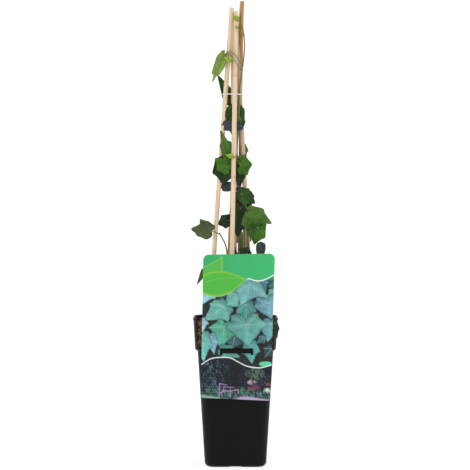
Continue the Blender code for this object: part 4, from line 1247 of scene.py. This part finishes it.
def build_fibres():
    """Coir fibres: short arched curves with a random heading, over the top and down the open front."""
    rng = np.random.default_rng(5)
    t = np.linspace(-1, 1, FIBRE_POINTS)[None, :]
    side = collar_inside(COMPOST_TOP) - 4

    def curves(count, length):
        heading, bend = rng.uniform(0, 2 * np.pi, (count, 1)), rng.normal(0, 0.7, (count, 1))
        half = rng.uniform(*length, (count, 1)) / 2
        way = heading + bend * t
        return half * t * np.cos(way), half * t * np.sin(way), rng.uniform(0.2, 1.8, (count, 1)) * (1 - t**2)

    x, y, arch = curves(TOP_FIBRES, TOP_FIBRE_LENGTH)
    x = np.clip(x + rng.uniform(-side, side, (TOP_FIBRES, 1)), -side, side)
    y = np.clip(y + rng.uniform(-side, side, (TOP_FIBRES, 1)), -side, side)
    top = np.stack([x, y, top_height(x, y) + arch + 0.1], -1)
    x, z, arch = curves(SIDE_FIBRES, SIDE_FIBRE_LENGTH)
    x = np.clip(x + rng.uniform(-OPEN_HALF, OPEN_HALF, (SIDE_FIBRES, 1)), -OPEN_HALF - 0.5, OPEN_HALF + 0.5)
    z = np.clip(z + rng.uniform(OPEN_LOW, OPEN_HIGH, (SIDE_FIBRES, 1)), OPEN_LOW - 0.8, OPEN_HIGH + 1)
    front = np.stack([x, -collar_inside(z) - 0.7 * arch + 0.3, z], -1)
    paths = np.concatenate([top, front])
    radii = rng.uniform(*FIBRE_RADIUS, (len(paths), 1)) * (1 - 0.5 * t**2)
    finish = loose_fibre("coir_fibre", (0.50, 0.26, 0.125), (0.24, 0.105, 0.045), 300.0)
    add_piece("coir_fibres", many_tubes(paths, radii, FIBRE_SIDES), finish)


def build_chips():
    """Bark chips: flattened, dented twelve-point lumps, turned every way and sunk half into the top or
    the open front."""
    rng = np.random.default_rng(9)
    golden = (1 + 5**0.5) / 2
    ring = [(0, a, b * golden) for a in (-1, 1) for b in (-1, 1)]
    corners = np.array([np.roll(p, k) for k in range(3) for p in ring])
    gaps = np.linalg.norm(corners[:, None] - corners, axis=-1)
    near = (gaps > 0.1) & (gaps < 2.1)
    faces = np.array([abc for abc in combinations(range(12), 3) if near[np.ix_(abc, abc)].sum() == 6])
    a, b, c = (corners[faces[:, k]] for k in range(3))
    inward = (np.cross(b - a, c - a) * a).sum(-1) < 0
    faces[inward] = faces[inward][:, ::-1]
    size = rng.uniform(SMALLEST_CHIP, LARGEST_CHIP, (CHIPS, 3))
    lumps = corners / golden * size[:, None] * rng.uniform(0.75, 1.15, (CHIPS, 12, 1))
    turns = np.linalg.qr(rng.normal(size=(CHIPS, 3, 3)))[0]
    turns *= np.sign(np.linalg.det(turns))[:, None, None]
    lumps = np.einsum("nij,nkj->nki", turns, lumps)
    side = collar_inside(COMPOST_TOP) - 4.5
    x, y = rng.uniform(-side, side, (2, CHIPS))
    z = top_height(x, y)
    front = rng.random(CHIPS) < CHIPS_IN_FRONT
    z[front] = rng.uniform(OPEN_LOW + 2, OPEN_HIGH - 2, front.sum())
    y[front] = 0.6 - collar_inside(z[front])
    skin = repeated(lumps + np.stack([x, y, z], -1)[:, None], [faces])
    finish = loose_fibre("bark_chip", (0.13, 0.06, 0.028), (0.045, 0.022, 0.012), 160.0)
    add_piece("bark_chips", skin, finish, smooth=False)


# Studio

CAMERA = (-0.65, -2200.0, 295.0)
LENS = 130.53
FLOOR_RADIUS = 5000.0
SWEEP_RADIUS = 1000.0
WALL_HEIGHT = 4000.0
FLOOR_SIDES, FLOOR_GLOW = 96, 0.76
SENSOR = 36.0
SKY = 0.42
LIGHTS = (  # place, aimed-at height, size, power
    ((-1500, -1300, 1500), 260, 1400, 3.6),
    ((1500, -1200, 1300), 260, 1400, 1.4),
    ((0, 300, 2300), 200, 1800, 3.0),
    ((900, 1900, 1200), 260, 1400, 2.4),
)


def build_floor():
    """A pale round floor that sweeps up into a wall all round: a profile of radius and height, flat,
    then a quarter circle, then upright, turned about the middle."""
    turn = np.linspace(0, np.pi / 2, 17)
    sweep = FLOOR_RADIUS + SWEEP_RADIUS * np.sin(turn)
    radius = np.concatenate([[1.0], sweep, sweep[-1:]])
    z = np.concatenate([[0], SWEEP_RADIUS * (1 - np.cos(turn)), [WALL_HEIGHT]])
    level = radius[:, None, None] * circle(FLOOR_SIDES)
    rings = np.concatenate([level, np.broadcast_to(z[:, None, None], level.shape[:2] + (1,))], -1)
    faces = quads_over(len(z), FLOOR_SIDES)[:, [0, 3, 2, 1]]
    mesh = mesh_of("floor", Skin(rings.reshape(-1, 3), [faces, np.arange(FLOOR_SIDES)[None]], {}))
    shade(mesh)
    paint = Finish("floor_paper", 0.9, Specular_IOR_Level=0.1, Emission_Strength=FLOOR_GLOW)
    paint.shader.inputs["Emission Color"].default_value = (1, 1, 1, 1)
    mesh.materials.append(paint.done(paint.mix(paint.noise(3.0, 2.0), (0.44,) * 3, (0.46,) * 3)))
    linked("floor", mesh)


def build_studio():
    """The camera, an even white sky, and square soft lights that each face a height on the axis."""
    scene = bpy.context.scene
    camera = linked("camera", bpy.data.cameras.new("camera"))
    camera.location = [c * MM for c in CAMERA]
    camera.rotation_euler = (np.pi / 2, 0, 0)
    camera.data.lens, camera.data.sensor_width = LENS, SENSOR
    scene.camera = camera
    scene.world = bpy.data.worlds.new("studio")
    scene.world.use_nodes = True
    sky = scene.world.node_tree.nodes["Background"].inputs
    sky["Color"].default_value = (1.0, 1.0, 1.0, 1.0)
    sky["Strength"].default_value = SKY
    scene.view_settings.view_transform = "Standard"
    for index, (place, aim, size, power) in enumerate(LIGHTS):
        lamp = bpy.data.lights.new(f"softbox_{index}", "AREA")
        lamp.shape, lamp.size, lamp.energy = "SQUARE", size * MM, power
        light = linked(lamp.name, lamp)
        light.location = [c * MM for c in place]
        x, y, z = np.array([0, 0, aim]) - place
        light.rotation_euler = (np.arctan2(np.hypot(x, y), -z), 0, np.arctan2(-x, y))


build_floor()
build_studio()
build_pot()
build_compost()
build_fibres()
build_chips()
build_label()
build_canes()
build_tie()
build_stems()
build_leaves()
